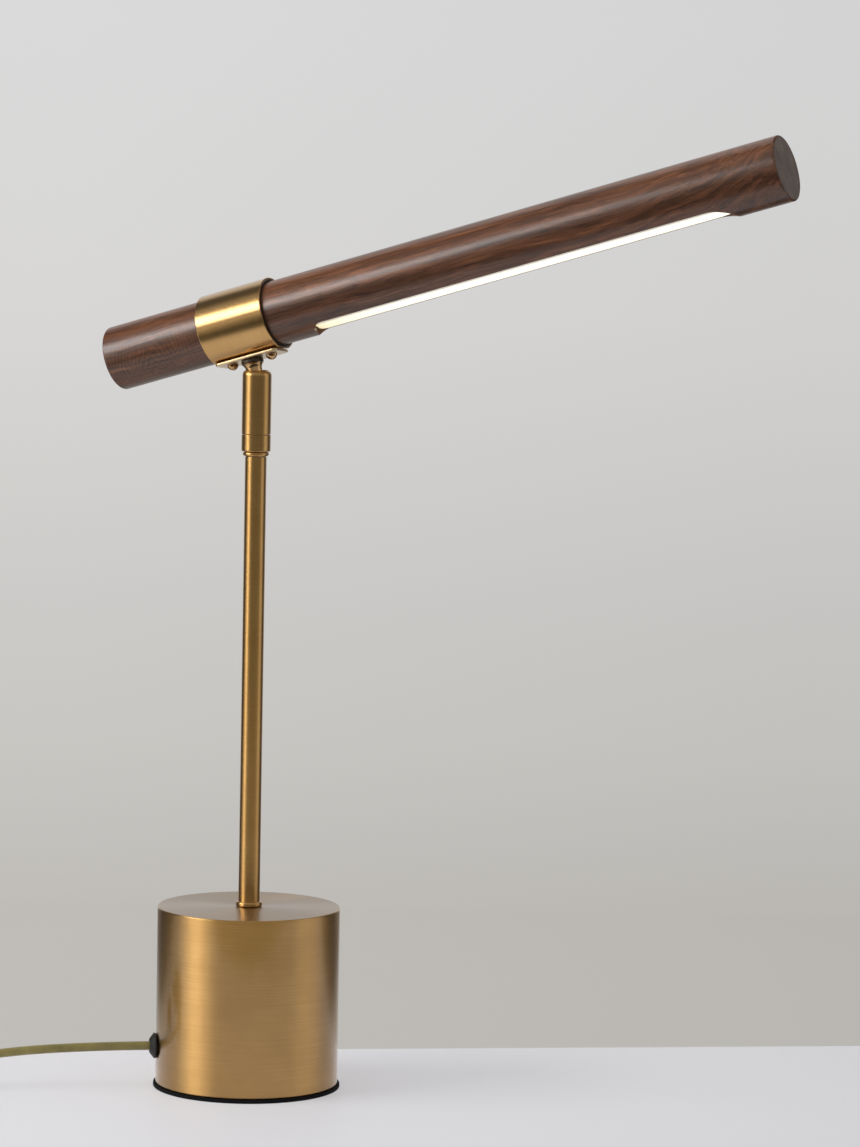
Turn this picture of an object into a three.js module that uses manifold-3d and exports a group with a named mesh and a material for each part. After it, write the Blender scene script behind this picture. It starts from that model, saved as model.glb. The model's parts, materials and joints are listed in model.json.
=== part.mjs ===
// Table lamp: a weighted brass drum on a foot pad, a thin brass stem, a swivel that pans, tilts
// and turns, and a wooden bar in a brass ring that carries a warm strip light on its underside.
// Millimetres, +Z up. The origin is the centre of the foot pad's underside, on the table.
// The mains lead leaves the drum on its -X side.

import * as THREE from 'three';
import { mergeVertices } from 'three/addons/utils/BufferGeometryUtils.js';
import Module from 'manifold-3d';

const wasm = await Module();
wasm.setup();

// Clearances
const gap = 0.3;
const runningGap = 0.35;
const overrun = 1;

// Drum base
const baseRadius = 50;
const baseHeight = 99.4;
const baseWall = 1.6;
const baseTopWall = 2;
const baseEdgeRadius = 0.7;
const padThickness = 2;
const padOverhang = 1.2;
const bottomPlateThickness = 2;
const weightHeight = 38;
const weightSideRoom = 1.2;
const weightWasherRadius = 11;
const weightWasherThickness = 1.5;
const weightNutAcrossFlats = 14;
const weightNutThickness = 5;
const pillarCount = 3;
const pillarRadius = 4;
const pillarCircleShare = 0.8;
const pillarStartFromExit = 90;
const plateScrewShankRadius = 1.5;
const plateScrewShankLength = 8;
const plateScrewHeadRadius = 3;
const plateScrewHeadThickness = 1.2;

// Light driver, cord clamp and cord exit in the drum
const driverLength = 38;
const driverWidth = 24;
const driverHeight = 24;
const driverCornerRadius = 2;
const driverShiftShare = 0.12;
const cordExitAzimuth = 189.5;
const cordExitHeight = 22.6;
const cordRadius = 2.4;
const grommetRimRadius = 7;
const grommetRimOffset = 1.3;
const grommetNoseRadius = 3.9;
const grommetNoseLength = 3.7;
const grommetNeckRadius = 4.6;
const grommetTailRadius = 5.8;
const grommetTailEndRadius = 3.6;
const grommetTailLength = 14;
const clampLength = 8;
const clampWidth = 18;
const clampCover = 4;
const clampScrewRadius = 1.2;
const clampScrewHeadRadius = 2.2;
const clampScrewHeadThickness = 1.4;
const leadRadius = 1.5;

// Stem
const stemRadius = 5.9;
const stemWall = 0.9;
const stemLength = 246.4;
const nippleWall = 1.5;
const nippleEngagement = 12;
const footCollarRadius = 7.3;
const footCollarHeight = 2.6;
const beadRadius = 7.2;
const beadHeight = 2.3;

// Swivel: fixed sleeve, turning cup, tilting neck
const sleeveRadius = 8;
const sleeveHeight = 9;
const sleeveSocketDepth = 7;
const spigotRadius = 4.6;
const spigotHeight = 8.4;
const circlipThickness = 1;
const circlipGrooveDepth = 0.7;
const circlipWidth = 1.5;
const circlipOpeningAngle = 50;
const cupHeight = 34.8;
const cupShoulderRadius = 3;
const cupFlangeThickness = 3.4;
const pivotDepth = 7.9;
const ballRadius = 6;
const neckRadius = 4.5;
const neckShankLength = 8.6;
const neckTopRadius = 5.9;
const leanMost = 75;
const leanLeast = -8;
const tiltPinRadius = 1.2;
const tiltPinBite = 0.7;
const tiltPinRoot = 0.4;
const seatHeight = 7;
const seatRimDropShare = 0.62;
const springThickness = 0.8;
const springWaves = 4;
const springWaveDepth = 0.25;
const neckWasherThickness = 2;
const neckWasherRadius = 6.1;
const neckSpigotRadius = 3.5;
const neckNutAcrossFlats = 10.4;
const neckNutThickness = 2.8;

// Rest attitude, in degrees: where the cup's slot points, how far the neck leans into the slot,
// and how far the head is turned on the neck
const slotAzimuth = 136;
const lean = 17.1;
const headTurn = -160;

// Head: wooden bar in a lined brass ring on a saddle plate
const barRadius = 17.6;
const barLength = 400;
const barEdgeRadius = 1;
const neckFromBarEnd = 80;
const ringRadius = 20;
const ringWall = 1.2;
const ringLength = 40;
const ringEdge = 0.3;
const ringFlatDepth = 0.9;
const saddleLength = 38;
const saddleWidth = 17;
const saddleThickness = 1.4;
const saddleCornerRadius = 2.5;
const saddleScrewSpacing = 24;
const saddleScrewShankRadius = 1.5;
const saddleScrewShankLength = 6.2;
const saddleScrewHeadRadius = 3.2;
const saddleScrewHeadHeight = 2.8;
const screwSlotWidth = 0.8;
const screwSlotDepth = 0.8;
const armLength = 34.8;

// Strip light in the bar's underside
const scoopStartFromBarEnd = 122;
const scoopLength = 248;
const scoopEndLength = 16;
const scoopDepth = 4.2;
const diffuserThickness = 2.2;
const diffuserInset = 0.9;
const channelWidth = 13.4;
const channelHeight = 7;
const channelWall = 1.2;
const channelEndInset = 14;
const boardThickness = 1;
const boardSideRoom = 0.4;
const ledCount = 22;
const ledLength = 3;
const ledWidth = 2.8;
const ledHeight = 0.8;

// Free lead: in-line switch, coil and plug, and the hand-set route of the loose stretches
const switchLength = 60;
const switchWidth = 22;
const switchHeight = 17;
const switchWall = 1.8;
const switchCornerRadius = 8;
const switchEdgeRadius = 2;
const switchScrewInset = 9;
const switchScrewRadius = 1.2;
const switchScrewHeadRadius = 2.2;
const rockerLength = 15;
const rockerWidth = 8;
const rockerRise = 1.6;
const rockerDepth = 5;
const rockerThrow = 8;
const plugLength = 36;
const plugFaceWidth = 35.3;
const plugThickness = 13.7;
const plugTailWidth = 11;
const plugTailHeightShare = 0.7;
const plugTailLength = 9;
const plugEdgeRadius = 1.5;
const plugPinSpacing = 18.6;
const plugPinRadius = 2;
const plugPinLength = 19;
const plugPinTipShare = 0.25;
const coilOuterRadius = 39.2;
const coilTurnGap = 0.5;
const coilTurnsPerLayer = 3.5;
const coilLoopSteps = 24;
const coilTubeSides = 6;
const coilCentre = [-327, 13.2];
const switchPlace = [-258, -26];
const plugFacePlace = [-214, 52.4];
const leadInRoute = [
  [-63, -10.6, 22.6], [-78, -13.1, 22.4], [-94, -15.7, 22], [-110, -18.2, 21.3], [-126, -20.7, 20.1],
  [-141, -22.8, 18.2], [-154, -24.3, 15.1], [-166, -25.3, 11.2], [-177, -25.9, 7.3], [-188, -26, 4.5],
  [-199, -26, 3.6], [-209, -26, 5], [-218, -26, 7.6],
];
const linkRoute = [[-298, -26, 7.5], [-306, -26, 5], [-314, -26, 3]];
const tailRoute = [[-315, 52.4, 7.2], [-306, 52.4, 5.2], [-297, 52.4, 3.6], [-288, 52.4, 3.2], [-277, 52.4, 4]];

// Facets
const drumFacets = 56;
const barFacets = 44;
const ringFacets = 36;
const stemFacets = 20;
const cupFacets = 24;
const smallFacets = 12;
const leadFacets = 8;
const cordFacets = 8;
const arcSteps = 3;
const stemLeadSteps = 9;
const headLeadSteps = 12;

// Heights and radii that follow from the sizes above
const degrees = THREE.MathUtils.degToRad;
const nippleRadius = stemRadius - stemWall - gap;
const nippleBore = nippleRadius - nippleWall;
const leadBore = leadRadius + gap;
const cordBore = cordRadius + gap;
const shellBottom = padThickness + gap;
const bottomPlateTop = shellBottom + bottomPlateThickness;
const shellInnerRadius = baseRadius - baseWall;
const weightTop = baseHeight - baseTopWall - gap;
const weightBottom = weightTop - weightHeight;
const weightNutBottom = weightBottom - gap - weightWasherThickness - gap - weightNutThickness;
const pillarCircle = shellInnerRadius * pillarCircleShare;
const stemBottom = baseHeight + gap;
const stemTop = stemBottom + stemLength;
const beadBottom = stemTop + gap;
const sleeveBottom = beadBottom + beadHeight + gap;
const sleeveTop = sleeveBottom + sleeveHeight;
const spigotTop = sleeveTop + spigotHeight;
const cupBottom = sleeveTop + gap;
const cupTop = cupBottom + cupHeight;
const pivotHeight = cupTop - pivotDepth;
const socketRadius = ballRadius + gap;
const circlipBottom = cupBottom + cupFlangeThickness + gap;
const circlipTop = circlipBottom + circlipThickness;
const circlipInner = spigotRadius - circlipGrooveDepth + gap;
const mouthRadius = neckRadius / Math.cos(degrees(leanLeast))
  + pivotDepth * Math.tan(degrees(-leanLeast)) + runningGap;
const ringFlat = ringRadius - ringFlatDepth;
const ringInner = ringRadius - ringWall;
const saddleTop = -ringFlat - gap;
const saddleBottom = saddleTop - saddleThickness;
const washerTop = armLength + saddleBottom - gap;
const neckTop = washerTop - neckWasherThickness - gap;
const nutCorner = neckNutAcrossFlats / 2 / Math.cos(Math.PI / 6);
const nutPocketRadius = nutCorner + 2 * gap;
const nutBottom = saddleTop + gap;
const nutTop = nutBottom + neckNutThickness;
const neckSpigotTop = armLength + nutTop + gap;
const flatHeight = -(barRadius - scoopDepth);
const scoopHalfWidth = Math.sqrt(barRadius ** 2 - flatHeight ** 2);
const scoopStart = scoopStartFromBarEnd - neckFromBarEnd;
const diffuserTop = flatHeight + diffuserThickness;
const channelBottom = diffuserTop + gap;
const channelTop = channelBottom + channelHeight;
const channelStart = scoopStart + channelEndInset;
const channelLength = scoopLength - 2 * channelEndInset;
const boardTop = channelTop - channelWall - gap;
const coilPitch = 2 * cordRadius + coilTurnGap;
const switchMiddle = switchHeight / 2;
const plugMiddle = plugThickness / 2;

// Materials
const brass = new THREE.MeshStandardMaterial({ color: 0xa98552, roughness: 0.32, metalness: 1 });
const darkBrass = new THREE.MeshStandardMaterial({ color: 0x5a4a32, roughness: 0.4, metalness: 1 });
const steel = new THREE.MeshStandardMaterial({ color: 0x9a9a98, roughness: 0.45, metalness: 1 });
const iron = new THREE.MeshStandardMaterial({ color: 0x4b4a48, roughness: 0.8, metalness: 0.6 });
const rubber = new THREE.MeshStandardMaterial({ color: 0x161514, roughness: 0.8, metalness: 0 });
const walnut = new THREE.MeshStandardMaterial({ color: 0x5b3a2a, roughness: 0.45, metalness: 0 });
const opal = new THREE.MeshStandardMaterial({ color: 0xfff2d6, roughness: 0.5, metalness: 0 });
const aluminium = new THREE.MeshStandardMaterial({ color: 0xc9cacb, roughness: 0.4, metalness: 1 });
const board = new THREE.MeshStandardMaterial({ color: 0xe9e6dc, roughness: 0.6, metalness: 0 });
const nylon = new THREE.MeshStandardMaterial({ color: 0xd8d4c8, roughness: 0.6, metalness: 0 });
const blackPlastic = new THREE.MeshStandardMaterial({ color: 0x1c1b1a, roughness: 0.5, metalness: 0 });
const cordSheath = new THREE.MeshStandardMaterial({ color: 0x8a8140, roughness: 0.35, metalness: 0 });
const leadSheath = new THREE.MeshStandardMaterial({ color: 0x2b2a28, roughness: 0.5, metalness: 0 });

const lamp = new THREE.Group();

// Geometry helpers

// A geometry with shared corners and no empty faces, turned so that its faces point outwards
function closed(geometry) {
  const plain = new THREE.BufferGeometry();
  plain.setAttribute('position', geometry.getAttribute('position'));
  if (geometry.index) plain.setIndex(geometry.index);
  const merged = mergeVertices(plain);
  const place = merged.getAttribute('position');
  const kept = [];
  let volume = 0;
  const [a, b, c] = [new THREE.Vector3(), new THREE.Vector3(), new THREE.Vector3()];
  for (let i = 0; i < merged.index.count; i += 3) {
    const corners = [merged.index.getX(i), merged.index.getX(i + 1), merged.index.getX(i + 2)];
    if (new Set(corners).size < 3) continue;
    kept.push(...corners);
    a.fromBufferAttribute(place, corners[0]);
    b.fromBufferAttribute(place, corners[1]);
    c.fromBufferAttribute(place, corners[2]);
    volume += a.dot(b.cross(c));
  }
  if (volume < 0) kept.reverse();
  merged.setIndex(kept);
  merged.computeVertexNormals();
  return merged;
}

function toSolid(geometry) {
  const shell = closed(geometry);
  return new wasm.Manifold(new wasm.Mesh({
    numProp: 3,
    vertProperties: new Float32Array(shell.getAttribute('position').array),
    triVerts: new Uint32Array(shell.index.array),
  }));
}

function fromSolid(solid) {
  const mesh = solid.getMesh();
  const geometry = new THREE.BufferGeometry();
  geometry.setAttribute('position', new THREE.BufferAttribute(new Float32Array(mesh.vertProperties), 3));
  geometry.setIndex(new THREE.BufferAttribute(new Uint32Array(mesh.triVerts), 1));
  geometry.computeVertexNormals();
  return geometry;
}

function cut(geometry, ...tools) {
  return fromSolid(tools.reduce((left, tool) => left.subtract(toSolid(tool)), toSolid(geometry)));
}

function join(geometry, ...others) {
  return fromSolid(others.reduce((left, other) => left.add(toSolid(other)), toSolid(geometry)));
}

// A turned piece: profile is a list of [radius, height] and its axis is Z
function turned(profile, facets, isRing) {
  const points = profile.map(([radius, height]) => new THREE.Vector2(radius, height));
  if (isRing) points.push(points[0].clone());
  return closed(new THREE.LatheGeometry(points, facets).rotateX(Math.PI / 2));
}

function disc(radius, bottom, top, facets) {
  return turned([[0, bottom], [radius, bottom], [radius, top], [0, top]], facets, false);
}

function tube(outer, inner, bottom, top, facets) {
  return turned([[inner, bottom], [outer, bottom], [outer, top], [inner, top]], facets, true);
}

function rod(radius, start, end, facets, axis) {
  const geometry = disc(radius, start, end, facets);
  if (axis === 'x') return geometry.rotateY(Math.PI / 2);
  if (axis === 'y') return geometry.rotateX(-Math.PI / 2);
  return geometry;
}

function block(x0, x1, y0, y1, z0, z1) {
  const geometry = new THREE.BoxGeometry(x1 - x0, y1 - y0, z1 - z0);
  return geometry.translate((x0 + x1) / 2, (y0 + y1) / 2, (z0 + z1) / 2);
}

// Points of an arc, from one angle to another in degrees, as [across, up]
function arc(across, up, radius, from, to, steps) {
  return Array.from({ length: steps + 1 }, (_, i) => {
    const angle = degrees(from + (to - from) * i / steps);
    return [across + radius * Math.cos(angle), up + radius * Math.sin(angle)];
  });
}

function outlineOf(points) {
  return new THREE.Shape(points.map(([x, y]) => new THREE.Vector2(x, y)));
}

function circleOutline(radius, sides) {
  return outlineOf(arc(0, 0, radius, 0, 360 - 360 / sides, sides - 1));
}

function roundedOutline(length, width, radius) {
  const [x, y] = [length / 2 - radius, width / 2 - radius];
  return outlineOf([
    ...arc(x, y, radius, 0, 90, arcSteps), ...arc(-x, y, radius, 90, 180, arcSteps),
    ...arc(-x, -y, radius, 180, 270, arcSteps), ...arc(x, -y, radius, 270, 360, arcSteps),
  ]);
}

function slab(outline, bottom, top) {
  const geometry = new THREE.ExtrudeGeometry(outline, { depth: top - bottom, bevelEnabled: false, steps: 1 });
  return geometry.translate(0, 0, bottom);
}

function hexOutline(acrossFlats) {
  return circleOutline(acrossFlats / 2 / Math.cos(Math.PI / 6), 6);
}

function nut(acrossFlats, bore, bottom, top) {
  return cut(slab(hexOutline(acrossFlats), bottom, top), disc(bore, bottom - overrun, top + overrun, smallFacets));
}

// A round tube along a smooth curve through points
function along(points, radius, sides, steps) {
  const path = new THREE.CatmullRomCurve3(points.map((p) => new THREE.Vector3(...p)), false, 'centripetal');
  const section = circleOutline(radius, sides);
  return new THREE.ExtrudeGeometry(section, { extrudePath: path, steps, bevelEnabled: false });
}

function place(name, geometry, material, group = lamp) {
  const mesh = new THREE.Mesh(closed(geometry), material);
  mesh.name = name;
  group.add(mesh);
  return mesh;
}

// Foot pad and bottom plate, with the screws that hold the plate to three pillars
function addFoot() {
  place('foot_pad', disc(baseRadius + padOverhang, 0, padThickness, drumFacets), rubber);
  const plateRadius = shellInnerRadius - gap;
  const holes = pillarPlaces().map(([x, y]) => disc(
    plateScrewShankRadius + gap, shellBottom - overrun, bottomPlateTop + overrun, smallFacets,
  ).translate(x, y, 0));
  const sinks = pillarPlaces().map(([x, y]) => disc(
    plateScrewHeadRadius + gap, shellBottom - overrun, shellBottom + plateScrewHeadThickness + gap, smallFacets,
  ).translate(x, y, 0));
  const clampHoles = clampScrewPlaces().map(([x, y]) => disc(
    clampScrewRadius + gap, shellBottom - overrun, bottomPlateTop + overrun, smallFacets,
  ).translate(x, y, 0).rotateZ(degrees(cordExitAzimuth)));
  const plate = disc(plateRadius, shellBottom, bottomPlateTop, drumFacets);
  place('bottom_plate', cut(plate, ...holes, ...sinks, ...clampHoles), steel);
  pillarPlaces().forEach(([x, y], i) => {
    const bottom = bottomPlateTop + gap;
    const top = weightBottom - gap;
    const pillar = disc(pillarRadius, bottom, top, smallFacets);
    const threadTop = shellBottom + plateScrewHeadThickness + plateScrewShankLength + gap;
    const thread = disc(plateScrewShankRadius + gap, bottom - overrun, threadTop, smallFacets);
    place(`spacer_pillar_${i + 1}`, cut(pillar, thread), steel).position.set(x, y, 0);
    place(`bottom_plate_screw_${i + 1}`, bottomPlateScrew(), steel).position.set(x, y, 0);
  });
}

function pillarPlaces() {
  return Array.from({ length: pillarCount }, (_, i) => {
    const angle = degrees(cordExitAzimuth + pillarStartFromExit + 360 * i / pillarCount);
    return [pillarCircle * Math.cos(angle), pillarCircle * Math.sin(angle)];
  });
}

function bottomPlateScrew() {
  const headTop = shellBottom + plateScrewHeadThickness;
  return turned([
    [0, shellBottom], [plateScrewHeadRadius, shellBottom], [plateScrewHeadRadius, headTop],
    [plateScrewShankRadius, headTop], [plateScrewShankRadius, headTop + plateScrewShankLength],
    [0, headTop + plateScrewShankLength],
  ], smallFacets, false);
}

// Drum shell: a drawn cup of brass, open below, with a hole for the stem and one for the grommet
function addDrum() {
  const innerTop = baseHeight - baseTopWall;
  const shell = turned([
    [nippleRadius + gap, innerTop], [shellInnerRadius, innerTop], [shellInnerRadius, shellBottom],
    [baseRadius, shellBottom],
    ...arc(baseRadius - baseEdgeRadius, baseHeight - baseEdgeRadius, baseEdgeRadius, 0, 90, arcSteps),
    [nippleRadius + gap, baseHeight],
  ], drumFacets, true);
  const hole = rod(grommetNeckRadius + gap, 0, baseRadius + overrun, smallFacets, 'x');
  hole.translate(0, 0, cordExitHeight).rotateZ(degrees(cordExitAzimuth));
  place('base_shell', cut(shell, hole), brass);
  const weightRadius = shellInnerRadius - weightSideRoom;
  place('base_weight', tube(weightRadius, nippleRadius + gap, weightBottom, weightTop, drumFacets), iron);
  const washerLevel = weightBottom - gap;
  place('weight_washer', tube(
    weightWasherRadius, nippleRadius + gap, washerLevel - weightWasherThickness, washerLevel, smallFacets,
  ), steel);
  place('weight_nut', nut(
    weightNutAcrossFlats, nippleRadius + gap, weightNutBottom, weightNutBottom + weightNutThickness,
  ), steel);
  const nippleBottom = weightNutBottom - gap;
  place('base_nipple', tube(
    nippleRadius, nippleBore, nippleBottom, stemBottom + nippleEngagement, smallFacets,
  ), steel);
}

// Where the lead comes in: grommet, clamp on the bottom plate, light driver
function clampScrewPlaces() {
  const offset = (cordBore + clampWidth / 2) / 2;
  return [[clampMiddle(), offset], [clampMiddle(), -offset]];
}

function clampMiddle() {
  const grommetInner = baseRadius - baseWall - grommetTailLength;
  return grommetInner - gap - clampLength / 2;
}

function addCordEntry() {
  const entry = new THREE.Group();
  entry.rotation.z = degrees(cordExitAzimuth);
  lamp.add(entry);
  const wallOuter = baseRadius + gap;
  const wallInner = baseRadius - baseWall - gap;
  const grommet = turned([
    [cordBore, baseRadius - baseWall - grommetTailLength],
    [grommetTailEndRadius, baseRadius - baseWall - grommetTailLength],
    [grommetTailRadius, wallInner - gap], [grommetNeckRadius, wallInner - gap],
    [grommetNeckRadius, wallOuter], [grommetRimRadius - gap, wallOuter],
    [grommetRimRadius, baseRadius + grommetRimOffset],
    [grommetNoseRadius, baseRadius + grommetNoseLength], [cordBore, baseRadius + grommetNoseLength],
  ], stemFacets, true);
  place('cord_grommet', grommet.rotateY(Math.PI / 2), rubber, entry).position.z = cordExitHeight;

  const clampStart = clampMiddle() - clampLength / 2;
  const clampTop = cordExitHeight + cordRadius + clampCover;
  const clampBody = block(
    clampStart, clampStart + clampLength, -clampWidth / 2, clampWidth / 2, bottomPlateTop + gap, clampTop,
  );
  const cordWay = rod(cordBore, clampStart - overrun, clampStart + clampLength + overrun, smallFacets, 'x');
  cordWay.translate(0, 0, cordExitHeight);
  const screwWays = clampScrewPlaces().map(([x, y]) => disc(
    clampScrewRadius + gap, bottomPlateTop, clampTop + overrun, smallFacets,
  ).translate(x, y, 0));
  place('cord_clamp', cut(clampBody, cordWay, ...screwWays), nylon, entry);
  clampScrewPlaces().forEach(([x, y], i) => {
    const screw = turned([
      [0, shellBottom + gap], [clampScrewRadius, shellBottom + gap], [clampScrewRadius, clampTop + gap],
      [clampScrewHeadRadius, clampTop + gap], [clampScrewHeadRadius, clampTop + gap + clampScrewHeadThickness],
      [0, clampTop + gap + clampScrewHeadThickness],
    ], smallFacets, false);
    place(`clamp_screw_${i + 1}`, screw, steel, entry).position.set(x, y, 0);
  });

  const driverEnd = clampStart - driverShiftShare * driverLength;
  const outline = roundedOutline(driverLength, driverWidth, driverCornerRadius);
  const driverTop = bottomPlateTop + gap + driverHeight;
  const driver = slab(outline, bottomPlateTop + gap, driverTop).translate(driverEnd - driverLength / 2, 0, 0);
  const socketDepth = driverShiftShare * driverLength;
  const cordSocket = rod(cordBore, driverEnd - socketDepth, driverEnd + overrun, smallFacets, 'x');
  cordSocket.translate(0, 0, cordExitHeight);
  place('led_driver', cut(driver, cordSocket), nylon, entry);
  const cordEnd = driverEnd - socketDepth + gap;
  const inner = rod(cordRadius, cordEnd, baseRadius + grommetNoseLength, cordFacets, 'x');
  place('cord_inner', inner.translate(0, 0, cordExitHeight), cordSheath, entry);
  return { driverEnd, driverTop };
}

// Stem: tube, foot collar, the joining nipples and the bead under the swivel
function addStem() {
  place('stem_foot_collar', turned([
    [stemRadius + gap, stemBottom], [footCollarRadius, stemBottom],
    ...arc(footCollarRadius - gap, stemBottom + footCollarHeight - gap, gap, 0, 90, 2),
    [stemRadius + gap, stemBottom + footCollarHeight],
  ], stemFacets, true), brass);
  place('stem_tube', tube(stemRadius, stemRadius - stemWall, stemBottom, stemTop, stemFacets), brass);
  const nippleTop = sleeveBottom + sleeveSocketDepth - gap;
  place('top_nipple', tube(nippleRadius, nippleBore, stemTop - nippleEngagement, nippleTop, smallFacets), steel);
  const beadRound = beadHeight / 2;
  place('bead_ring', turned([
    [nippleRadius + gap, beadBottom],
    ...arc(beadRadius - beadRound, beadBottom + beadRound, beadRound, -90, 90, arcSteps),
    [nippleRadius + gap, beadBottom + beadHeight],
  ], stemFacets, true), brass);
}

// Fixed lower half of the swivel, with a hollow spigot that the cup turns on, and its circlip
function addSleeve() {
  const socket = nippleRadius + gap;
  const grooveRadius = spigotRadius - circlipGrooveDepth;
  place('swivel_sleeve', turned([
    [socket, sleeveBottom], [sleeveRadius - gap, sleeveBottom], [sleeveRadius, sleeveBottom + gap],
    [sleeveRadius, sleeveTop], [spigotRadius, sleeveTop],
    [spigotRadius, circlipBottom - gap], [grooveRadius, circlipBottom - gap],
    [grooveRadius, circlipTop + gap], [spigotRadius, circlipTop + gap], [spigotRadius, spigotTop],
    [leadBore, spigotTop], [leadBore, sleeveBottom + sleeveSocketDepth],
    [socket, sleeveBottom + sleeveSocketDepth],
  ], cupFacets, true), brass);
  const outer = circlipInner + circlipWidth;
  const half = circlipOpeningAngle / 2;
  const clip = outlineOf([
    ...arc(0, 0, outer, half, 360 - half, 4 * arcSteps),
    ...arc(0, 0, circlipInner, 360 - half, half, 4 * arcSteps),
  ]);
  place('pan_circlip', slab(clip, circlipBottom, circlipTop), steel);
}

// Turning cup: holds the ball, with a slot on one side that lets the neck fold down
function addCup(pan) {
  const bottom = cupBottom - pivotHeight;
  const shoulder = cupShoulderRadius;
  const top = pivotDepth;
  const flatRadius = sleeveRadius - shoulder;
  const lipAngle = THREE.MathUtils.radToDeg(
    Math.acos(THREE.MathUtils.clamp((mouthRadius - flatRadius) / shoulder, 0, 1)),
  );
  const lip = arc(flatRadius, top - shoulder, shoulder, 0, lipAngle, arcSteps);
  const lipTop = lip[lip.length - 1][1];
  const throatHeight = Math.sqrt(Math.max(socketRadius ** 2 - mouthRadius ** 2, 0));
  const throatAngle = THREE.MathUtils.radToDeg(Math.atan2(throatHeight, mouthRadius));
  const flangeTop = bottom + cupFlangeThickness;
  const throat = arc(0, 0, socketRadius, throatAngle, 0, arcSteps - 1);
  const profile = [
    [spigotRadius + runningGap, bottom], [sleeveRadius, bottom], ...lip,
    ...(mouthRadius < flatRadius ? [[mouthRadius, lipTop]] : []),
    ...throat, [socketRadius, flangeTop], [spigotRadius + runningGap, flangeTop],
  ];
  const slotHalf = neckRadius + runningGap;
  const slotMiddle = socketRadius / Math.tan(degrees(leanMost)) - runningGap;
  const slotOutline = outlineOf([
    [slotHalf, top + overrun], ...arc(0, slotMiddle, slotHalf, 0, -180, 2 * arcSteps), [-slotHalf, top + overrun],
  ]);
  const slot = slab(slotOutline, 0, sleeveRadius + overrun).rotateX(Math.PI / 2).rotateZ(Math.PI / 2);
  const pinReach = socketRadius + tiltPinBite + gap;
  const pinBores = rod(tiltPinRadius + runningGap, -pinReach, pinReach, smallFacets, 'y');
  place('swivel_cup', cut(turned(profile, cupFacets, true), slot, pinBores), brass, pan);

  const seatRadius = socketRadius - gap;
  const dishTop = -ballRadius * seatRimDropShare;
  const dishRadius = Math.sqrt(socketRadius ** 2 - dishTop ** 2);
  const dishFloor = Math.sqrt(socketRadius ** 2 - leadBore ** 2);
  const seatBottom = dishTop - seatHeight;
  const from = THREE.MathUtils.radToDeg(Math.atan2(dishTop, dishRadius));
  const to = THREE.MathUtils.radToDeg(Math.atan2(-dishFloor, leadBore));
  place('ball_seat', turned([
    [leadBore, seatBottom], [seatRadius, seatBottom], [seatRadius, dishTop],
    ...arc(0, 0, socketRadius, from, to, arcSteps),
  ], stemFacets, true), nylon, pan);

  const springBottom = circlipTop + gap - pivotHeight;
  const springTop = seatBottom - gap;
  const outer = socketRadius - gap;
  const steps = 2 * springWaves;
  const wave = (side) => Array.from({ length: steps + 1 }, (_, i) => [
    outer - springWaveDepth + (i % 2 ? springWaveDepth : 0) - (side ? springThickness : 0),
    springBottom + (springTop - springBottom) * i / steps,
  ]);
  place('seat_spring', turned([...wave(0), ...wave(1).reverse()], stemFacets, true), steel, pan);

  const leadBottom = spigotTop + gap - pivotHeight;
  place('cup_lead', disc(leadRadius, leadBottom, -ballRadius - runningGap, leadFacets), leadSheath, pan);
}

// Tilting neck: ball, shank and flared top with a hollow spigot that the head turns on
function addNeck(tilt) {
  const ballBottom = -Math.sqrt(ballRadius ** 2 - leadBore ** 2);
  const from = THREE.MathUtils.radToDeg(Math.atan2(ballBottom, leadBore));
  const to = THREE.MathUtils.radToDeg(Math.acos(neckRadius / ballRadius));
  const flareSteps = arcSteps;
  const flare = Array.from({ length: flareSteps + 1 }, (_, i) => {
    const share = i / flareSteps;
    const up = neckShankLength + (neckTop - neckShankLength) * share;
    return [neckRadius + (neckTopRadius - neckRadius) * share ** 2, up];
  });
  const neck = turned([
    ...arc(0, 0, ballRadius, from, to, 3 * arcSteps), ...flare,
    [neckSpigotRadius, neckTop], [neckSpigotRadius, neckSpigotTop], [leadBore, neckSpigotTop],
  ], cupFacets, true);
  const pinStart = leadBore + tiltPinRoot;
  const bores = [1, -1].map((side) => rod(
    tiltPinRadius + gap, side > 0 ? pinStart : -ballRadius - overrun, side > 0 ? ballRadius + overrun : -pinStart,
    smallFacets, 'y',
  ));
  place('swivel_neck', cut(neck, ...bores), brass, tilt);
  const [near, far] = [pinStart + gap, socketRadius + tiltPinBite];
  place('tilt_pin_left', rod(tiltPinRadius, near, far, smallFacets, 'y'), steel, tilt);
  place('tilt_pin_right', rod(tiltPinRadius, -far, -near, smallFacets, 'y'), steel, tilt);
  place('neck_washer', tube(
    neckWasherRadius, neckSpigotRadius + gap, neckTop + gap, washerTop, stemFacets,
  ), darkBrass, tilt);
  place('neck_nut', nut(
    neckNutAcrossFlats, neckSpigotRadius + gap, armLength + nutBottom, armLength + nutTop,
  ), steel, tilt);
  place('neck_lead', disc(leadRadius, ballBottom + gap, neckSpigotTop, leadFacets), leadSheath, tilt);
}

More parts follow.
